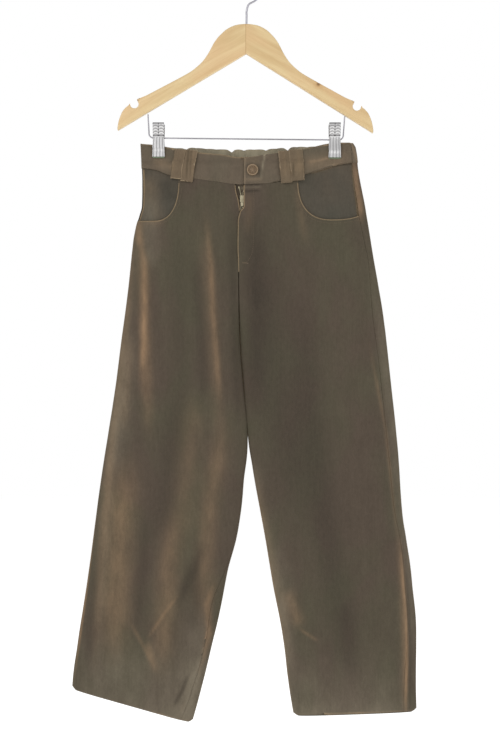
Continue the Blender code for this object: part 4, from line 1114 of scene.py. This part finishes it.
def wood(name):
    """Pale varnished wood: grain along each arm, a glued joint in the middle and one small knot."""
    made, wires, shader, place = new_material(name)
    nodes = made.node_tree.nodes
    parts = nodes.new("ShaderNodeSeparateXYZ")
    made.node_tree.links.new(place, parts.inputs[0])
    x, y, z = parts.outputs
    beside = wires.less(x, WOOD_JOINT_X)
    aside = wires.math("ABSOLUTE", beside)
    sine, cosine = math.sin(GRAIN_SLOPE), math.cos(GRAIN_SLOPE)
    along = wires.less(wires.product(aside, cosine), wires.product(z, sine))
    across = wires.sum(wires.product(aside, sine), wires.product(z, cosine))
    joined = nodes.new("ShaderNodeCombineXYZ")
    wires.set(joined, {0: wires.sum(along, wires.product(wires.math("SIGN", beside), 0.7)), 1: y, 2: across})
    grain = joined.outputs[0]
    wave = wires.noise(wires.stretch(grain, (2.2, 14, 30)), 3.2, 4.0, 0.6, 0.5)
    fine = wires.noise(wires.stretch(grain, (12, 160, 300)), 3.0, 4.0, 0.6)
    warm = wires.noise(wires.stretch(grain, (3, 6, 9)), 3.0, 2.0, 0.5)
    knot = nodes.new("ShaderNodeVectorMath")
    knot.operation = "DISTANCE"
    wires.set(knot, {0: place, 1: WOOD_KNOT})
    from_knot = knot.outputs["Value"]
    tone = wires.mix(wires.range(wave, 0.35, 0.65), srgb(224, 199, 150), srgb(207, 176, 126))
    for amount, colour in (
        (wires.range(warm, 0.45, 0.7, 0.0, 0.5), (221, 181, 134)),
        (wires.range(fine, 0.5, 0.8, 0.0, 0.35), (190, 156, 110)),
        (wires.range(from_knot, 0.003, 0.011, 0.4, 0.0), (190, 140, 80)),
        (wires.range(from_knot, 0.001, 0.0045, 0.85, 0.0), (120, 84, 48)),
        (wires.range(aside, 0.0003, 0.0009, 0.45, 0.0), (160, 115, 65)),
    ):
        tone = wires.mix(amount, tone, srgb(*colour))
    wires.set(shader, {
        "Base Color": tone, "Roughness": 0.42, "Coat Weight": 0.25, "Coat Roughness": 0.2,
        "Normal": wires.bump(fine, 0.15, 0.0002),
    })
    return made


# Cloth pieces

def eased(count, amount=0.4):
    """Even shares of an angle that step wider at the folds than in the middle."""
    even = np.linspace(0, 1, count)
    return even + amount * np.sin(2 * math.pi * even) / (2 * math.pi)


def panel_rows(top, middle, hem):
    """Rows of values from a panel's top edge to where its columns are even, then on to its hem."""
    down = np.linspace(0, 1, 56, endpoint=False)[:, None]
    below = np.linspace(0, 1, 230)[:, None]
    return np.concatenate([top + (middle - top) * down, middle + (hem - middle) * below])


def between_seams(leg, first, last, share, z):
    """Angles from one seam to another, half a gap short of each."""
    first = first + gap_angle(leg, first, z)
    last = last - gap_angle(leg, last, z)
    return first + (last - first) * share


def lapped(leg, skin, angle, z):
    """How far a front piece is lifted by the lap: the left one alone."""
    return lap(skin.at(angle, z)[..., 0], z) if leg == "left" else 0.0


def front_panel(leg, finish):
    seam_columns, drop_columns, side_columns = 30, 32, 26
    scoop = SCOOPS[leg]
    seam_x = np.linspace(LEGS[leg].front_inner(FLY_START_Z), scoop.start_x, seam_columns + 1)
    seam_z = BAND["front"].seam(seam_x) + SEAM_TUCK
    scoop_angle, scoop_z = scoop_edge(leg, drop_columns, side_columns)
    top_angle = np.concatenate([leg_angle(leg, seam_x, seam_z), scoop_angle])
    top_z = np.concatenate([seam_z, scoop_z])
    start, end = inseam(leg, top_z), side_seam(leg, top_z)
    top_share = np.clip((top_angle - start) / (end - start), 0, 1)
    top_share[0], top_share[-1] = 0, 1
    even_share = eased(len(top_share))
    start, end = inseam(leg, HEMS[leg].inner), side_seam(leg, HEMS[leg].outer)
    hem_z = hem_height(leg, start + (end - start) * even_share)
    share = panel_rows(top_share, even_share, even_share)
    z = panel_rows(top_z, JOIN_Z, hem_z)
    angle = between_seams(leg, inseam(leg, z), side_seam(leg, z), share, z)
    skin = LEG_SKINS[leg]
    # Painted highlight along the hem, the scoop's edge and the left fly edge
    edge = borders(angle.shape, last_row=0.25)
    edge[0, seam_columns:] = 1.0
    if leg == "left":
        edge[:, 0] = 0.2 * smooth_step(-500, -440, z[:, 0])
    return cloth(
        f"front_panel_{leg}", skin, angle, z, finish, CLOTH, lapped(leg, skin, angle, z), split=z > CROTCH_Z,
        edge=edge,
    )


def back_panel(leg, finish):
    share = eased(92)
    top_z = np.full(share.shape, BAND["back"].seam(LEGS[leg].outer(BAND_LOW_Z)))
    for _ in range(3):
        angle = side_seam(leg, top_z) * (1 - share) + math.pi * share
        top_z = BAND["back"].seam(leg_skin(leg, angle, top_z)[..., 0]) + SEAM_TUCK
    start, end = side_seam(leg, HEMS[leg].outer), inseam(leg, HEMS[leg].inner) + 2 * math.pi
    z = panel_rows(top_z, JOIN_Z, hem_height(leg, start + (end - start) * share))
    angle = between_seams(leg, side_seam(leg, z), inseam(leg, z) + 2 * math.pi, share, z)
    return cloth(
        f"back_panel_{leg}", LEG_SKINS[leg], angle, z, finish, CLOTH, split=z > CROTCH_Z,
        edge=borders(angle.shape, last_row=0.25),
    )


def pocket_facing(leg, finish):
    across, rows = 30, 34
    scoop = SCOOPS[leg]
    first = body_angle(scoop.facing_x, scoop.start_z)
    last = body_angle(side_x(leg, FACING_Z, 0.2), FACING_Z)
    share = np.linspace(0, 1, across + 1)
    angle = (first + (last - first) * share)[None, :] + np.zeros((rows + 1, 1))
    x = body_skin(angle, np.full_like(angle, FACING_Z))[..., 0]
    top_z = BAND["front"].seam(x) + FACING_UP
    reach = np.clip(np.abs(x - scoop.facing_x) / FACING_CORNER_WIDTH, 0, 1)
    low_z = scoop.low_z - POCKET_DEEP + FACING_CORNER * (1 - np.sqrt(1 - (1 - reach) ** 2))
    z = top_z + (low_z - top_z) * np.linspace(0, 1, rows + 1)[:, None]
    angle = first + (body_angle(side_x(leg, z, 0.2), z) - first) * share
    return cloth(
        f"pocket_facing_{leg}", BODY, angle, z, finish, CLOTH, -CLOTH - FACING_GAP, creased=False,
        edge=borders(angle.shape, last_column=1.0),
    )


def front_band(leg, finish):
    across, rows = 84, 18
    middle_z = BAND_MIDDLE_Z["front"]
    centre_x = {"right": UNDERLAP_END, "left": LEGS["left"].front_inner(BAND_LOW_Z)}[leg]
    side_angle = body_angle(side_x(leg, middle_z), middle_z)
    share = np.linspace(0, 1, across + 1)
    angle = side_angle + (body_angle(centre_x, middle_z) - side_angle) * share
    z = between_edges("front", angle, np.linspace(0, 1, rows))
    side_angle = body_angle(side_x(leg, z, HALF_GAP), z)
    angle = side_angle + (body_angle(centre_x, z) - side_angle) * share
    lift = BAND_PROUD + lapped(leg, BODY, angle, z)
    edge = borders(angle.shape, first_row=0.5, last_column={"right": 0, "left": 0.5}[leg])
    return cloth(
        f"waistband_front_{leg}", BODY, angle, z, finish, BAND_CLOTH, lift, soft_edge=1.1, edge=edge,
    )


def back_band(finish):
    across, rows = 300, 18
    middle_z = BAND_MIDDLE_Z["back"]
    share = np.linspace(0, 1, across)
    angle = (2 * math.pi + body_angle(side_x("left", middle_z), middle_z)) * share
    z = between_edges("back", angle, np.linspace(0, 1, rows))
    first, last = 0.0015, 2 * math.pi + body_angle(side_x("left", z, -HALF_GAP), z)
    angle = first + (last - first) * share
    # The pale painted light also lightens the band's inner face, which sits in shade
    return cloth(
        "waistband_back", BODY, angle, z, finish, BAND_CLOTH, BAND_PROUD, soft_edge=1.1,
        edge=borders(angle.shape, first_row=0.35), inside={"pale": 0.9},
    )


def belt_loop(loop, finish):
    across, rows = 12, 34
    down = np.linspace(0, 1, rows + 1)[:, None]
    partner = 1 if loop.name in ("belt_loop_right_side", "belt_loop_left_front") else -1
    side = np.linspace(-0.5, 0.5, across + 1)[None, :] * (loop.width + LOOP_FULL) + partner * LOOP_FULL / 2
    slope = (loop.bottom_x - loop.top_x) / (loop.top_z - loop.bottom_z)
    x = loop.top_x + (loop.bottom_x - loop.top_x) * down + side
    z = loop.top_z + (loop.bottom_z - loop.top_z) * down + side * slope
    lift = BAND_PROUD + LAY_GAP + LOOP_CLOTH + LOOP_STAND * np.sin(math.pi * down) + 0 * side
    lift = lift + (lap(x, z) if loop.top_x > 0 else 0)
    # Lengthwise wrinkles that run out at the sewn ends
    turn = side / loop.width
    broad = np.sin(turn * 15 + 3 * down + loop.top_x) * 0.45
    narrow = np.sin(turn * 26 - 2 * down) * 0.25
    lift = lift + (broad + narrow) * np.sin(math.pi * down)
    return cloth(
        loop.name, BODY, body_angle(x, z), z, finish, LOOP_CLOTH, lift, creased=False,
        edge=borders(z.shape, 0.3, 0.35, 0.4, 0.4),
    )


def zip_edge(leg, z):
    """The inner edge of a tape: straight where the zip is closed, spread above the slider."""
    closed_x = ZIP_X + OUTWARD[leg] * TOOTH_HALF
    return closed_x + (ZIP_TOP_X[leg] - closed_x) * smooth_step(ZIP_CLOSED_Z, ZIP_TOP_Z + ZIP_SPREAD, z)


def zip_tape(leg, finish):
    z = np.linspace(ZIP_TOP_Z, ZIP_END_Z, 61)[:, None] + np.zeros((1, 9))
    away = np.linspace(0, 1, 9)[None, :]
    x = zip_edge(leg, z) + OUTWARD[leg] * TAPE_WIDTH * away
    lift = -CLOTH - LAY_GAP
    if leg == "left":
        lift = lift + away**2 * lap(x, z) * 0.6
    return cloth(
        f"zip_tape_{leg}", BODY, body_angle(x, z), z, finish, TAPE_CLOTH, lift, creased=False,
        soft_edge=0.2, slot="zip_tape",
    )


# Small sewing: rolled edges, thread and zip teeth

def tube(name, points, diameter, finish, slot="velvet", resolution=2):
    """A thin tube along points in millimetres, with no node of its own."""
    return wire(name, [tuple(point) for point in points], diameter, finish, slot, (), resolution=resolution)


def fly_shield(finish):
    """The strip of cloth behind the zip, sewn to the right front."""
    z = np.linspace(ZIP_TOP_Z + 14, ZIP_END_Z - 6, 46)[:, None] + np.zeros((1, 13))
    x = np.linspace(*SHIELD_ENDS, 13)[None, :] + 0 * z
    lift = -CLOTH - 2 * LAY_GAP - TAPE_CLOTH - SHIELD_CLOTH
    return cloth(
        "fly_shield", BODY, body_angle(x, z), z, finish, SHIELD_CLOTH, lift, creased=False,
        soft_edge=0.3, nodes=(),
    )


def rolled_edge(leg, finish):
    """The scoop pocket's edge, turned over and rolled forward."""
    angle, z = scoop_edge(leg, 40, 34)
    points, out, _ = cloth_face(LEG_SKINS[leg], angle[:, None], z[:, None], split=True, creased=False)
    return tube(f"scoop_edge_roll_{leg}", (points - out * CLOTH * 0.45)[1:-1, 0], ROLL, finish)


def side_rolls(finish):
    """The fly's turned edges, the band's rolled top and the piped outer edge of the right pocket's facing."""
    fly_rolls = (("fly_edge_roll", "left", -508, 80), ("fly_under_roll", "right", -404, 40))
    for name, leg, low_z, rows in fly_rolls:
        skin = LEG_SKINS[leg]
        z = np.linspace(FLY_ROLL_TOP_Z, low_z, rows)[:, None]
        angle = inseam(leg, z)
        angle = angle + gap_angle(leg, angle, z)
        points, out, _ = cloth_face(skin, angle, z, lapped(leg, skin, angle, z), split=True)
        tube(name, (points - out * CLOTH * 0.4)[:, 0], FLY_ROLL, finish)
    for leg, ends in BAND_ROLL_ENDS.items():
        x = np.linspace(*ends, 120)
        line = np.stack([x, BAND["front"].top(x) - 0.7], axis=-1)
        points, out = on_front(line, BAND_PROUD)
        tube(f"band_top_roll_{leg}", points - out * 0.75, BAND_ROLL, finish)
    z = np.linspace(-331, -420, 60)[:, None]
    angle = body_angle(side_x("right", z, 1.2), z)
    points, out, _ = cloth_face(BODY, angle, z, -CLOTH - FACING_GAP, creased=False)
    tube("pocket_side_roll", (points - out * CLOTH * 0.2)[:, 0], FACING_ROLL, finish)


def stitches(name, points, out, finish, length=STITCH, gap=STITCH_GAP, thick=THREAD):
    """Thread along a line on the cloth: short capsules, half sunk in the pile."""
    points, out = np.array(points), np.array(out)
    reached = lengths_along(points)
    shape = bmesh.new()
    for at in np.arange(gap, reached[-1] - length, length + gap):
        start, end, up = (
            Vector([np.interp(place, reached, grid[:, axis]) for axis in range(3)])
            for place, grid in ((at, points), (at + length, points), (at + length / 2, out))
        )
        along = (end - start).normalized()
        side = along.cross(up).normalized()
        turn = Matrix((side, up.normalized(), along)).transposed().to_4x4()
        scaled = turn @ Matrix.Diagonal((thick / 2, thick / 2, length / 2, 1))
        place = Matrix.Translation((start + end) / 2) @ scaled
        bmesh.ops.create_uvsphere(shape, u_segments=6, v_segments=4, radius=1, matrix=place)
    return piece(name, shape, finish, "velvet")


def on_front(line, lift=0.0):
    """Points and normals on the front of the body under a line of x and z, 1 mm apart."""
    line = np.array(line, float)
    reached = lengths_along(line)
    steps = np.linspace(0, reached[-1], max(4, int(reached[-1])))
    x, z = np.interp(steps, reached, line[:, 0]), np.interp(steps, reached, line[:, 1])
    height = lift + lap(x, z) * (x > -10)
    angle = body_angle(x, z)
    points, out, _ = cloth_face(BODY, angle[:, None], z[:, None], height[:, None], creased=False)
    return points[:, 0], out[:, 0]


def sewing(finish):
    """Topstitching that shows: fly, waistband edges, scoop pockets and the tack at the foot of the fly."""
    fly = smooth_line(on_cloth(FLY_STITCHES), 6)
    stitches("fly_stitches", *on_front(fly), finish)
    for index in range(3):
        stitches(f"fly_tack_{index}", *on_front(on_cloth(FLY_TACK) - (0, 0.7 * index)), finish, gap=0.2)
    for leg, ends in BAND_STITCH_ENDS.items():
        x = np.linspace(*ends, 60)
        top, seam = BAND["front"].top(x) - BAND_STITCH, BAND["front"].seam(x) + BAND_STITCH
        for edge, z in (("top", top), ("seam", seam)):
            line = np.stack([x, z], axis=-1)
            points, out = on_front(line, BAND_PROUD)
            stitches(f"band_{edge}_stitches_{leg}", points, out, finish)
        angle, z = scoop_edge(leg, 40, 34)
        x = leg_skin(leg, angle, z)[..., 0]
        away = np.stack([np.gradient(z), -np.gradient(x)], axis=-1) * OUTWARD[leg]
        away /= np.linalg.norm(away, axis=1)[:, None]
        line = (np.stack([x, z], axis=-1) + away * SCOOP_STITCH)[3:-3]
        turn = leg_angle(leg, line[:, 0], line[:, 1])
        points, out, _ = cloth_face(LEG_SKINS[leg], turn[:, None], line[:, 1:], split=True)
        stitches(f"scoop_stitches_{leg}", points[:, 0], out[:, 0], finish)


def zip_teeth(finish):
    """Two rows of metal teeth on the tapes' edges, and a stop over each."""
    for leg in LEGS:
        shape = bmesh.new()
        shift = 0 if leg == "right" else TOOTH_PITCH / 2
        z = np.arange(ZIP_TOP_Z - 3 - shift, ZIP_END_Z + 3, -TOOTH_PITCH)
        x = zip_edge(leg, z) - OUTWARD[leg] * 0.6
        lift = -CLOTH - LAY_GAP - TAPE_CLOTH / 2
        points, _, _ = cloth_face(BODY, body_angle(x, z)[:, None], z[:, None], lift, creased=False)
        clear = np.abs(z - SLIDER_Z) > SLIDER_HALF_HEIGHT + 1
        for index in np.flatnonzero(clear):
            size = TOOTH_SIZE if index else STOP_SIZE
            place = Matrix.Translation(Vector(points[index, 0])) @ Matrix.Diagonal((*size, 1))
            bmesh.ops.create_cube(shape, size=1, matrix=place)
        soften(shape, shape.edges[:], 0.2, 1)
        piece(f"zip_teeth_{leg}", shape, finish, "zip_metal")


# Hard pieces

def smooth_line(points, steps, closed=False):
    """A finer line through points that turns smoothly."""
    points = np.array(points, float)
    count = len(points)
    fine = []
    last = count if closed else count - 1
    for index in range(last):
        near = [index - 1, index, index + 1, index + 2]
        at = [points[place % count if closed else min(max(place, 0), count - 1)] for place in near]
        for part in range(steps):
            t = part / steps
            fine.append(0.5 * (
                2 * at[1] + (at[2] - at[0]) * t + (2 * at[0] - 5 * at[1] + 4 * at[2] - at[3]) * t * t
                + (3 * at[1] - at[0] - 3 * at[2] + at[3]) * t**3
            ))
    if not closed:
        fine.append(points[-1])
    return fine


def curve_piece(name, curve, finish, slot, nodes, place=None, body="trousers"):
    """A visible piece from a curve, made a mesh and put in its place."""
    holder = bpy.data.objects.new(name, curve)
    bpy.context.scene.collection.objects.link(holder)
    mesh = bpy.data.meshes.new_from_object(holder.evaluated_get(bpy.context.evaluated_depsgraph_get()))
    bpy.data.objects.remove(holder)
    bpy.data.curves.remove(curve)
    shape = bmesh.new()
    shape.from_mesh(mesh)
    bpy.data.meshes.remove(mesh)
    bmesh.ops.remove_doubles(shape, verts=shape.verts, dist=1e-6)
    bmesh.ops.scale(shape, vec=(1 / MM, 1 / MM, 1 / MM), verts=shape.verts)
    if place is not None:
        bmesh.ops.transform(shape, matrix=place, verts=shape.verts)
    return piece(name, shape, finish, slot, nodes, body)


def straight_lines(curve, points, closed=False):
    """Adds a line through points in millimetres to a curve."""
    spline = curve.splines.new("POLY")
    spline.points.add(len(points) - 1)
    for point, (x, y, z) in zip(spline.points, points):
        point.co = (x * MM, y * MM, z * MM, 1)
    spline.use_cyclic_u = closed


def wire(name, points, diameter, finish, slot, nodes, tilt=0.0, resolution=4):
    curve = bpy.data.curves.new(name, "CURVE")
    curve.dimensions = "3D"
    curve.bevel_depth = diameter / 2 * MM
    curve.bevel_resolution = resolution
    curve.use_fill_caps = True
    straight_lines(curve, points)
    return curve_piece(name, curve, finish, slot, nodes, Matrix.Rotation(tilt, 4, "Y"))


def hanger_wood(finish):
    x, z = WOOD_TOP[0]
    top = smooth_line([(-x, z), (0, HUMP_TOP_Z), *WOOD_TOP], 5)[5:]
    notch = arc((NOTCH_X, NOTCH_Z), NOTCH_RADIUS, 140, 368, 24)
    half = [*top, *notch, *smooth_line(WOOD_TIP, 5)]
    outline = half + [(0, APEX_Z)] + [(-x, z) for x, z in half[1:]][::-1]
    curve = bpy.data.curves.new("wood", "CURVE")
    curve.dimensions = "2D"
    curve.fill_mode = "BOTH"
    curve.extrude = (WOOD_HALF - WOOD_EDGE) * MM
    curve.bevel_depth = WOOD_EDGE * MM
    curve.bevel_resolution = 4
    curve.offset = -WOOD_EDGE * MM
    straight_lines(curve, [(x, z, 0) for x, z in outline], closed=True)
    place = Matrix.Rotation(HANGER_TILT, 4, "Y") @ Matrix.Rotation(math.pi / 2, 4, "X")
    return curve_piece("hanger_wood_shaped", curve, finish, "wood", ("hanger_wood",), place)


def hanger_hook(finish):
    centre = (0, -HOOK_RADIUS + HOOK_WIRE / 2)
    ring = arc(centre, HOOK_RADIUS, -28, 205, 64)
    end_x, end_z = ring[0]
    bend_x, bend_z = 3.4, HOOK_FOOT_Z + 7
    shank = [(0, HUMP_TOP_Z + SEAM_GAP), (0, HOOK_FOOT_Z - 12), (0.1, HOOK_FOOT_Z - 4)]
    bend = [(bend_x, bend_z), ((bend_x + end_x) / 2 + 0.6, (bend_z + end_z) / 2 - 0.4)]
    lower = smooth_line(shank + bend + [ring[0]], 5)[:-1]
    points = [(x, 0, z) for x, z in [*lower, *ring]]
    return wire("hanger_hook_wire", points, HOOK_WIRE, finish, "steel", ("hanger_hook",), HANGER_TILT)


def clip_bar(finish):
    low = BAR_Z + BAR_CORNER
    right = arc((BAR_HALF - BAR_CORNER, low), BAR_CORNER, 0, -90, 14)
    left = [(BAR_LEFT_IN - x, z) for x, z in right[::-1]]
    line = [(BAR_HALF + 2, BAR_TOP_Z)] + right + left + [(BAR_LEFT_IN - BAR_HALF - 2, BAR_TOP_Z)]
    points = [(x, 0, z) for x, z in line]
    return wire("clip_bar_wire", points, BAR_WIRE, finish, "steel", ("clip_bar",), HANGER_TILT)


def button(finish, rim_finish):
    """A dished button turned about its middle, with a raised ring near its edge and a spiral in its dish."""
    shape = bmesh.new()
    ring = [shape.verts.new((radius * BUTTON_RADIUS / 10, 0, height)) for radius, height in BUTTON_PROFILE]
    for start, end in zip(ring[:-1], ring[1:]):
        shape.edges.new((start, end))
    bmesh.ops.spin(
        shape, geom=shape.verts[:] + shape.edges[:], axis=(0, 0, 1), cent=(0, 0, 0),
        angle=2 * math.pi, steps=48, use_merge=True,
    )
    bmesh.ops.remove_doubles(shape, verts=shape.verts, dist=0.001)
    on_skin = skin_place(BUTTON_X, BUTTON_Z - BUTTON_DROP, BAND_PROUD + LAP_RISE + 0.2)
    place = Matrix.Scale(1 / MM, 4) @ on_skin @ Matrix.Scale(MM, 4)
    bmesh.ops.transform(shape, matrix=place, verts=shape.verts)
    piece("button_shaped", shape, finish, "button", ("button",))
    turn = np.linspace(0, 2 * math.pi, 49)
    radius, high, thick = 8.5, 3.75, 2.3
    rim = [place @ Vector((radius * math.cos(t), radius * math.sin(t), high)) for t in turn]
    tube("button_rim", rim, thick, rim_finish, "button")
    first, last = 0.6, 2 * math.pi * 1.6
    turn = np.linspace(first, last, 60)
    reach = 1.6 + 4.6 * (turn - first) / (last - first)
    height = np.interp(reach, [0, 1.2, 2.4, 3.6, 5.0, 6.4], [2.8, 2.8, 2.6, 2.1, 1.8, 2.1])
    spiral = [place @ Vector((-r * math.cos(t), r * math.sin(t), h)) for r, t, h in zip(reach, turn, height)]
    tube("button_spiral", spiral, 1.0, finish, "button")


def bent_sheet(clip):
    """How a clip's plate is bent: its inner face as distance out and height."""
    pad_out = CLIP_BAND_HALF + SEAM_GAP + PAD_CLOTH
    jaw_out = pad_out + SEAM_GAP
    pivot_out = SPRING_RADIUS + SEAM_GAP
    top_z, bar_z = clip.top_z, clip.bar_z
    grip = [(13.0, top_z), (12.2, top_z - 8)]
    waist = [(pivot_out + 1.6, bar_z + 7), (pivot_out, bar_z), (pivot_out + 0.6, bar_z - 7)]
    jaw = [(jaw_out + 1.6, bar_z - 18), (jaw_out, bar_z - 24), (jaw_out, clip.jaw_z + PLATE_SHORT)]
    return np.array(smooth_line(grip + waist + jaw, 16))


def ridge(distance, width):
    """1 on a line, falling to nothing within about twice the width beside it."""
    return np.exp(-((distance / width) ** 2))


def pressed_grip(u, down):
    """The grip's painted shade along its lines and arches, and its raised arches, by place across and
    distance down in millimetres.
    """
    painted_shade = ridge(down - 1.0, 0.9) * 0.95 + ridge(down - (GRIP_LONG - 0.9), 0.9) * 0.9
    painted_shade = painted_shade + ridge(u, 0.06) * 0.75 + ridge(np.abs(u) - 1, 0.07) * 0.45
    rise = np.zeros(painted_shade.shape)
    across = np.clip((np.abs(u) - 0.5) / 0.46, -1, 1)
    for row in ARCH_ROWS:
        near = ridge(down - ((row - GRIP_TOP_PIXEL) * PIXEL + ARCH_DROP * across**2), 0.62)
        painted_shade = painted_shade + near * (0.5 + 0.5 * (1 - np.abs(across)) + 0.4 * np.abs(across) ** 4)
        rise = rise - 0.2 * near
    on_grip = smooth_step(GRIP_LONG + 0.8, GRIP_LONG - 0.4, down)
    return np.clip(painted_shade, 0, 1) * on_grip, rise * on_grip


def clip_plate(side, face, finish):
    """One sprung plate of a clip, with its pressed grip and its lengthwise grooves."""
    clip = CLIPS[side]
    profile = bent_sheet(clip)
    reached = lengths_along(profile)
    steps = np.linspace(0, reached[-1], 128)
    out, z = np.interp(steps, reached, profile[:, 0]), np.interp(steps, reached, profile[:, 1])
    turn = np.stack([-np.gradient(z), np.gradient(out)], axis=-1)
    turn /= np.linalg.norm(turn, axis=1)[:, None]
    u = np.linspace(-1, 1, 53)[None, :]
    down = (clip.top_z - z)[:, None] + 0 * u
    painted_shade, rise = pressed_grip(u + 0 * down, down)
    body = smooth_step(GRIP_LONG, GRIP_LONG + 3, down)
    # Painted shade in the lengthwise grooves and along the plate's sides
    for groove in GROOVES:
        near = ridge(u - groove, 0.09) * body
        painted_shade, rise = painted_shade + 0.56 * near, rise - 0.15 * near
    painted_shade = painted_shade + 0.3 * ridge(np.abs(u) - 1, 0.06) * body
    heights = [0, GRIP_LONG - 0.4, GRIP_LONG + 1, clip.top_z - clip.jaw_z]
    half = np.interp(down, heights, [GRIP_HALF, GRIP_HALF, NECK_HALF, CLIP_HALF_WIDTH - 0.15])
    sign = -1 if face == "front" else 1
    grids = []
    for lift in (CLIP_SHEET + rise, 0 * rise):
        far = out[:, None] + turn[:, :1] * lift
        high = z[:, None] + turn[:, 1:] * lift
        grids.append(np.stack([clip.x + half * u, sign * far, high], axis=-1))
    shape = wall(*grids, 0.3, {"deep": np.clip(painted_shade, 0, 1)})
    name = f"clip_{side}_{face}"
    return piece(f"{name}_plate", shape, finish, "steel", (name,))


def clip_spring(side, finish):
    """A coil of round wire about the bar, its two legs along the plates."""
    clip = CLIPS[side]
    radius = SPRING_RADIUS - SPRING_WIRE / 2
    turn = np.linspace(0, 2 * math.pi * SPRING_TURNS, SPRING_TURNS * 18 + 1)
    reach = SPRING_HALF_LENGTH - SPRING_WIRE / 2
    x = clip.x - reach + 2 * reach * turn / turn[-1]
    coil = [(at, -radius * math.cos(t), clip.bar_z - radius * math.sin(t)) for at, t in zip(x, turn)]
    first, last = coil[0][0], coil[-1][0]
    far, near = (-8.6, clip.bar_z + 12), (-radius - 0.4, clip.bar_z + 3)
    points = [(first, *far), (first, *near)] + coil[1:-1] + [(last, *near), (last, *far)]
    name = f"clip_spring_{side}"
    return wire(f"{name}_coil", points, SPRING_WIRE, finish, "steel", (name,))


# The white room, in metres: each lamp's name, place, size and power, the height they aim at, the surround's
# strength, the floor and the camera
LAMPS = (
    ("key", (-1.7, -2.6, 0.9), 1.6, 26.0),
    ("fill", (2.4, -2.2, -0.6), 2.0, 9.0),
    ("back", (0.6, 2.6, 0.8), 2.0, 22.0),
)
MIDDLE_Z = -0.75
SURROUND_LIGHT = 0.62
FLOOR_Z = -1.52
VIEW_X = 0.00516
VIEW_Z = -0.684
VIEW_AWAY = 3.0
VIEW_HEIGHT = 1.29
WHITE = (1, 1, 1, 1)


def studio():
    """A white room: an even surround, soft light from the upper left and a pale floor below the hems."""
    scene = bpy.context.scene
    scene.view_settings.view_transform = "Standard"
    world = bpy.data.worlds.new("surround")
    scene.world = world
    world.use_nodes = True
    tree = world.node_tree
    shown = tree.nodes["Background"]
    shown.inputs["Color"].default_value = WHITE
    shown.inputs["Strength"].default_value = 1.0
    lit = tree.nodes.new("ShaderNodeBackground")
    lit.inputs["Color"].default_value = WHITE
    lit.inputs["Strength"].default_value = SURROUND_LIGHT
    path = tree.nodes.new("ShaderNodeLightPath")
    mix = tree.nodes.new("ShaderNodeMixShader")
    tree.links.new(path.outputs["Is Camera Ray"], mix.inputs[0])
    tree.links.new(lit.outputs[0], mix.inputs[1])
    tree.links.new(shown.outputs[0], mix.inputs[2])
    tree.links.new(mix.outputs[0], tree.nodes["World Output"].inputs["Surface"])
    for name, place, size, power in LAMPS:
        lamp = bpy.data.lights.new(name, "AREA")
        lamp.size = size
        lamp.energy = power
        made = bpy.data.objects.new(name, lamp)
        scene.collection.objects.link(made)
        made.location = place
        aim = Vector((0, 0, MIDDLE_Z)) - Vector(place)
        made.rotation_euler = aim.to_track_quat("-Z", "Y").to_euler()
    shape = bmesh.new()
    bmesh.ops.create_circle(shape, cap_ends=True, segments=64, radius=9.0)
    bmesh.ops.translate(shape, vec=(0, 0, FLOOR_Z), verts=shape.verts)
    mesh = bpy.data.meshes.new("floor")
    shape.to_mesh(mesh)
    shape.free()
    floor = bpy.data.objects.new("floor", mesh)
    scene.collection.objects.link(floor)
    pale, wires, shader, place = new_material("pale_floor")
    wires.set(shader, {
        "Base Color": (0.9, 0.9, 0.89, 1), "Roughness": 0.9,
        "Emission Color": WHITE, "Emission Strength": 0.45,
    })
    mesh.materials.append(pale)
    lens = bpy.data.cameras.new("view")
    lens.sensor_width = 36
    lens.lens = 36 * VIEW_AWAY / VIEW_HEIGHT
    camera = bpy.data.objects.new("view", lens)
    scene.collection.objects.link(camera)
    camera.location = (VIEW_X, -VIEW_AWAY, VIEW_Z)
    camera.rotation_euler = (math.pi / 2, 0, 0)
    scene.camera = camera


def carried_over(names, finish):
    """CAD solids whose shape is right: joined points, soft edges and a finish of their own."""
    for name in names:
        solid = bpy.data.objects[name]
        for slot in solid.material_slots:
            slot.material = finish
        if not solid.material_slots:
            solid.data.materials.append(finish)
        weld = solid.modifiers.new("weld", "WELD")
        weld.merge_threshold = 1e-6
        bevel = solid.modifiers.new("soft_edges", "BEVEL")
        bevel.width = 0.0002
        bevel.segments = 2
        bevel.limit_method = "ANGLE"
        bevel.angle_limit = math.radians(40)


def main():
    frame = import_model()
    pile = pile_group()
    cloths = {row.name: velvet(pile, row) for row in VELVETS}
    steel = metal("bright_steel", (232, 231, 231), 0.42, (58, 54, 58))
    wire_steel = metal("wire_steel", (190, 188, 196), 0.3)
    brass = metal("zip_brass", (206, 196, 166), 0.4)
    for leg in LEGS:
        front_panel(leg, cloths["panels"])
        back_panel(leg, cloths["panels"])
        pocket_facing(leg, cloths["facing"])
        front_band(leg, cloths["band"])
        zip_tape(leg, cloths["tape"])
        rolled_edge(leg, cloths["rolled_edge"])
    fly_shield(cloths["band"])
    back_band(cloths["band"])
    side_rolls(cloths["rolled_edge"])
    sewing(matte("sewing_thread", (120, 102, 80), (88, 76, 62), 0.8))
    for loop in LOOPS:
        belt_loop(loop, cloths["loops"])
    button_face = matte("button_face", (132, 110, 84), (106, 86, 64))
    # The rim's lighter colour is a painted highlight on the raised ring
    button(button_face, matte("button_rim", (146, 124, 98), (126, 106, 82)))
    hanger_wood(wood("varnished_wood"))
    hanger_hook(wire_steel)
    clip_bar(wire_steel)
    carried_over(("zip_slider", "zip_pull"), brass)
    zip_teeth(brass)
    for side in CLIPS:
        clip_plate(side, "front", steel)
        clip_plate(side, "back", steel)
        clip_spring(side, wire_steel)
    pads = [name for name in frame["nodes"] if name.startswith("clip_pad")]
    carried_over(pads, matte("clip_rubber", (126, 140, 114), (96, 110, 86), 0.6))
    studio()


main()
